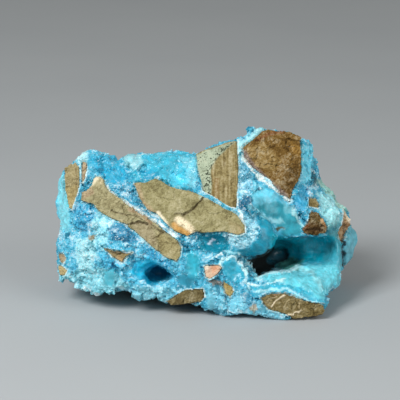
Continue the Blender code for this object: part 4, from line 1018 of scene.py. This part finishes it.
# Lines on the rock faces: shade, strength, half width and rise in millimetres, and the corners
rockLines = {
    "slab crack": ("#453A1E", 0.95, 0.34, -0.55, [(206, 196), (200, 201), (195, 207), (188, 213),
        (182, 215)]),
    "slab crack, branch": ("#5C5030", 0.7, 0.3, -0.3, [(192, 208), (184, 214), (174, 214)]),
    "slab crack, foot": ("#6C6040", 0.6, 0.3, -0.2, [(186, 214), (182, 220)]),
    "step of the long rock": ("#3E3018", 0.9, 0.38, -0.6, [(128, 225), (133, 223), (140, 222), (147, 224)]),
    "its upper crack": ("#54452A", 0.7, 0.26, -0.4, [(112, 211), (122, 214), (134, 215), (142, 219)]),
    "its middle crack": ("#4A3A22", 0.7, 0.3, -0.4, [(148, 218), (151, 224), (158, 230), (163, 233)]),
    "its lower crack": ("#5E5032", 0.6, 0.22, -0.3, [(151, 240), (158, 236), (164, 232)]),
    "its reddish seam": ("#A27C62", 0.5, 0.9, 0.0, [(130, 209), (142, 214), (150, 222)]),
    "cream at its tip": ("#EDE3C6", 0.7, 0.8, 0.0, [(90, 185), (95, 181), (98, 177), (98, 172)]),
    "its pale tip": ("#D9CBA4", 0.6, 0.7, 0.0, [(101, 183), (102, 178)]),
    "cream streak": ("#F4E9CC", 0.95, 0.9, 0.1, [(158, 213), (162, 219), (167, 227), (172, 231)]),
    "cream streak, foot": ("#F3E4C2", 0.95, 1.5, 0.15, [(178, 220), (184, 223), (190, 229), (193, 234)]),
    "orange stain": ("#D6A055", 0.8, 1.1, 0.0, [(174, 225), (181, 230), (188, 234)]),
    "grey rim of the brown rock": ("#857670", 0.9, 1.2, -0.2, [(244, 153), (252, 166), (262, 176),
        (272, 184), (285, 196)]),
    "its reddish edge": ("#8E5A3C", 0.5, 0.7, 0.0, [(256, 140), (268, 134), (282, 132)]),
    "dark spot of the banded rock": ("#6A5A36", 0.6, 0.5, 0.0, [(225, 158), (224, 165)]),
    "line of the banded rock": ("#85713F", 0.6, 0.4, -0.2, [(212, 166), (213, 182), (214, 200)]),
    "vein of the eye": ("#EBDDC0", 0.9, 0.3, 0.1, [(285, 295), (279, 298), (275, 302), (271, 307)]),
    "vein, second": ("#D9C8A4", 0.7, 0.2, 0.1, [(268, 299), (276, 296)]),
    "vein, third": ("#E6D8BC", 0.8, 0.26, 0.1, [(288, 315), (294, 314), (301, 310)]),
    "vein, fourth": ("#C9B890", 0.6, 0.18, 0.0, [(283, 308), (287, 303), (290, 299)]),
    "vein, fifth": ("#C2B088", 0.6, 0.18, 0.0, [(300, 300), (299, 308)]),
    "pink edge of the eye": ("#B48F70", 0.6, 0.6, 0.0, [(274, 294), (282, 291), (292, 294)]),
    "rust of the wedge": ("#8A4526", 0.45, 0.7, 0.0, [(302, 229), (308, 225)]),
    "pale side of the wedge": ("#CC9A66", 0.7, 0.6, 0.1, [(322, 220), (326, 226)]),
    "dark line of the wedge": ("#2A1A0C", 0.8, 0.35, -0.5, [(306, 230), (314, 229), (322, 230)]),
    "cream of the seam": ("#E9DCC4", 0.8, 0.4, 0.1, [(342, 207), (346, 214), (350, 222)]),
    "dark foot of the seam": ("#3E2C1C", 0.7, 0.6, -0.4, [(344, 224), (345, 234), (342, 242)]),
    "shade of the triangle": ("#3E3218", 0.9, 0.6, -0.3, [(112, 252), (120, 253), (129, 252)]),
    "pink of the triangle": ("#AE8E68", 0.6, 0.6, 0.0, [(118, 257), (122, 260)]),
    "stains of the fin": ("#6E5A34", 0.6, 0.3, -0.1, [(76, 168), (77, 178), (76, 190)]),
}
rindArea = rockAreas["rind of the banded rock"][2]
# Where its black specks crowd
rindFoot = [(231, 146), (222, 153), (214, 161), (210, 171), (209, 184), (206, 196)]

rockLook = {
    "voxel": 0.42,          # grain of the fine surface, mm
    "grow": 0.30,           # closes the clearance to the crust, mm
    "sink": 0.1,            # and how far the face then drops back, mm
    "frontLimit": -4.0,     # marks of the front end this far out, mm
    "areaEdge": 0.5,        # softness of a painted area's edge, mm
    "rindEdge": 0.4,        # and of the rind's
    "waver": 1.0,           # how far drawn edges stray, pixels
    "speckWidth": 1.5,      # half width of the rind's specked edge, mm
    "roughness": 0.9,       # how rough a piece has broken that roughness doesn't name
}
rockBreakage = {
    "shardSize": 8.0, "shardTilt": 0.14, "shardLedge": 0.22,
    "facetSize": 2.2, "facetTilt": 0.26, "facetLedge": 0.14,
    "chipSize": 0.9, "chipTilt": 0.30, "chipLedge": 0.10,
    "grain": 0.22,
    "swelling": 0.9,
}
# How rough these pieces have broken
roughness = {"rock_top_brown": 1.35, "rock_rusty_wedge": 1.5, "rock_shoulder_seam": 1.4,
             "rock_veined_eye": 1.2, "rock_long_diagonal": 1.0, "rock_banded": 0.5,
             "rock_centre_slab": 0.5}
slots = {part["node"]: part["material_slot"] for part in frame["record"]["subparts"]}


def fineRock(name):
    look = rockLook
    rock = newObject(name + "_fine", meshOf(mergedCopy(name, look["grow"]), name + "_fine"))
    change(rock, "REMESH", mode="VOXEL", voxel_size=look["voxel"] * mm)
    points, ways, places, seen = survey(rock)
    shown = name in rockShades
    front = (places[:, 2] > look["frontLimit"]) * float(shown)
    seen = waver(seen, places, look["waver"])
    height = lineHeight(seen, front, rockLines) - look["sink"]
    moveTo(rock.data, points + ways * (height * mm)[:, None])
    plain = plainly(points, rockShades[name] if shown else hiddenShades[slots[name]])
    keep(rock.data, rough=np.full(len(points), roughness.get(name, look["roughness"])),
         swell=np.ones(len(points)), specks=onLine(seen, rindFoot, look["speckWidth"]),
         rind=inArea(seen, rindArea, look["rindEdge"]) * front * float(name == "rock_banded"),
         tint=paint(plain, seen, front, rockAreas, rockLines, look["areaEdge"]))
    grow(rock, brokenSurface, rockBreakage)
    holdInside(rock)
    return rock


rockFinish = {
    "dark": "#8A7A5E",          # what the darkest parts multiply their colour by
    "light": "#E6DCBC",         # what the palest parts turn to, and how far
    "lightest": 0.45,
    "grain": "#4A3F28",         # dark grains all over
    "black": "#26301F",         # and the specks in the rind
    # grains to the millimetre, so 1.6 is 0.6 mm wide and 0.16 is 6 mm
    "clouds": 0.16, "sand": 1.6, "grains": 1.3, "bands": 0.9, "specks": 1.2, "bend": 1.3,
    "bandWay": (1.0, 0.08, 0.08),    # the bands run up and in
    "bendReach": 1.1,           # how far the specks are bent, mm
    "bumpHeight": 0.25,         # of the sand, mm
}


def rockMaterial(name, contrast, speck, bands):
    # fine-grained silty host rock, broken: a dull, dry, sandy face with darker specks of iron
    # and manganese, brown in its cracks and cream where calcite fills them.
    material, tree = newMaterial(name)
    look, place = rockFinish, inMillimetres(tree)
    tint = add(tree, "ShaderNodeAttribute", attribute_name="tint").outputs["Color"]
    rind, specks, chips, facets = [add(tree, "ShaderNodeAttribute", attribute_name=field).outputs["Fac"]
                                   for field in ("rind", "specks", "chipTone", "facetTone")]
    clouds = add(tree, "ShaderNodeTexNoise",
                 {"Vector": place, "Scale": look["clouds"], "Detail": 5.0, "Roughness": 0.62})
    sand = add(tree, "ShaderNodeTexNoise",
               {"Vector": place, "Scale": look["sand"], "Detail": 3.0, "Roughness": 0.7})
    drawn = add(tree, "ShaderNodeVectorMath", {0: place, 1: look["bandWay"]}, operation="MULTIPLY")
    waves = add(tree, "ShaderNodeTexNoise", {"Vector": drawn, "Scale": look["bands"], "Detail": 3.0})
    waves = add(tree, "ShaderNodeMapRange", {0: waves, 1: 0.38, 2: 0.62})
    bare = add(tree, "ShaderNodeMapRange", {0: rind, 3: bands, 4: 0.0})
    tone = addTones(tree, 0.0, (
        (clouds, 0.5, 1.0, 1.0), (sand, 0.5, 1.0, 0.8), (chips, 0.0, 1.0, 0.22 * contrast),
        (facets, 0.0, 1.0, 0.16 * contrast), (waves, 0.5, 1.0, bare)))
    base = shadeBy(tree, tone, tint, (-0.42 / contrast, 0.0), look["dark"],
                   (0.0, 0.5 / contrast), look["light"], look["lightest"])
    grains = add(tree, "ShaderNodeTexVoronoi", {"Vector": place, "Scale": look["grains"]}).outputs["Distance"]
    spots = add(tree, "ShaderNodeMapRange", {0: grains, 1: 0.28, 2: 0.10, 3: 0.0, 4: speck})
    base = add(tree, "ShaderNodeMix", {0: spots, 6: base, 7: look["grain"]}, data_type="RGBA")
    # black specks in the pale rind
    bent = bend(tree, place, look["bend"], 2.0, look["bendReach"])
    seeds = add(tree, "ShaderNodeTexVoronoi", {"Vector": bent, "Scale": look["specks"]})
    chance = add(tree, "ShaderNodeSeparateColor", {0: seeds.outputs["Color"]}).outputs[0]
    dense = add(tree, "ShaderNodeMapRange", {0: specks, 3: 0.4, 4: 0.9})
    reach = add(tree, "ShaderNodeMath", {0: chance, 1: dense, 2: -0.01}, operation="MULTIPLY_ADD")
    lack = add(tree, "ShaderNodeMath", {0: reach, 1: seeds.outputs["Distance"]}, operation="SUBTRACT")
    blacks = add(tree, "ShaderNodeMapRange", {0: lack, 1: -0.03, 2: 0.06, 3: 0.0, 4: 0.9})
    blacks = add(tree, "ShaderNodeMath", {0: blacks, 1: rind}, operation="MULTIPLY")
    base = add(tree, "ShaderNodeMix", {0: blacks, 6: base, 7: look["black"]}, data_type="RGBA")
    # relief too fine for the mesh: sand and grains
    height = add(tree, "ShaderNodeMath", {0: sand, 1: grains}, operation="ADD")
    bump = add(tree, "ShaderNodeBump",
               {"Height": height, "Strength": min(1.0, 0.45 * contrast),
                "Distance": look["bumpHeight"] * mm})
    shader = add(tree, "ShaderNodeBsdfPrincipled",
                 {"Base Color": base, "Roughness": 0.85, "Normal": bump, "Specular IOR Level": 0.2})
    add(tree, "ShaderNodeOutputMaterial", {"Surface": shader})
    return material


# Contrast from light to dark, strength of the dark grains, and strength of the bands
finishes = {
    "tan_rock": rockMaterial("sandy host rock, broken", 1.0, 0.45, 0.0),
    "brown_rock": rockMaterial("iron-stained host rock, crumbling", 1.15, 0.6, 0.0),
    "banded_rock": rockMaterial("banded host rock", 0.9, 0.25, 0.36),
    "pink_rock": rockMaterial("pink host rock", 1.0, 0.2, 0.0),
}

for name in rockNames:
    wear(fineRock(name), finishes[slots[name]], slots[name], name)
print("rock pieces shaped:", len(rockNames))


# stage, light and camera

studio = {
    "floor": "#ADB2B4",
    "mottle": "#A7ACAF",
    "floorHalf": 3.0,                     # metres
    "world": (1.0, 0.99, 0.96, 1.0),
    "worldStrength": 0.3,
    "lampAim": (0, 0, 0.03),              # where the lamps point, metres
    "lamps": {                            # place and size in metres, power in watts
        "key": ((-0.55, -0.65, 0.85), 0.55, 13.5),
        "fill": ((0.8, -0.7, 0.5), 0.8, 5.5),
    },
}


def aim(thing, target):
    thing.rotation_euler = (target - thing.location).to_track_quat("-Z", "Y").to_euler()


def setCamera():
    lens = bpy.data.cameras.new("camera")
    lens.lens = view["lens"]
    lens.sensor_width = view["sensor"]
    lens.clip_end = view["sight"]
    camera = newObject("camera", lens)
    across, up, out = view["target"]
    camera.location = toFrame(across, up, out + view["distance"])
    aim(camera, toFrame(across, up, out))
    bpy.context.scene.camera = camera


def floorMaterial():
    # matt grey tabletop paper: even, with a very faint mottle
    material, tree = newMaterial("matt grey paper")
    place = add(tree, "ShaderNodeTexCoord").outputs["Object"]
    mottle = add(tree, "ShaderNodeTexNoise", {"Vector": place, "Scale": 9.0, "Detail": 2.0})
    shade = add(tree, "ShaderNodeMix", {0: mottle, 6: studio["floor"], 7: studio["mottle"]}, data_type="RGBA")
    shader = add(tree, "ShaderNodeBsdfPrincipled", {"Base Color": shade, "Roughness": 0.75})
    add(tree, "ShaderNodeOutputMaterial", {"Surface": shader})
    return material


def setStage():
    half = studio["floorHalf"]
    mesh = bpy.data.meshes.new("floor")
    corners = [(-half, -half, 0), (half, -half, 0), (half, half, 0), (-half, half, 0)]
    mesh.from_pydata(corners, [], [range(4)])
    mesh.materials.append(floorMaterial())
    newObject("floor", mesh)
    world = bpy.data.worlds.new("studio")
    world.use_nodes = True
    light = world.node_tree.nodes["Background"]
    light.inputs["Color"].default_value = studio["world"]
    light.inputs["Strength"].default_value = studio["worldStrength"]
    bpy.context.scene.world = world
    bpy.context.scene.view_settings.view_transform = "Standard"
    for name, (place, size, power) in studio["lamps"].items():
        lamp = bpy.data.lights.new(name, "AREA")
        lamp.size = size
        lamp.energy = power
        lampObject = newObject(name, lamp)
        lampObject.location = place
        aim(lampObject, Vector(studio["lampAim"]))


setCamera()
setStage()
print("stage set")
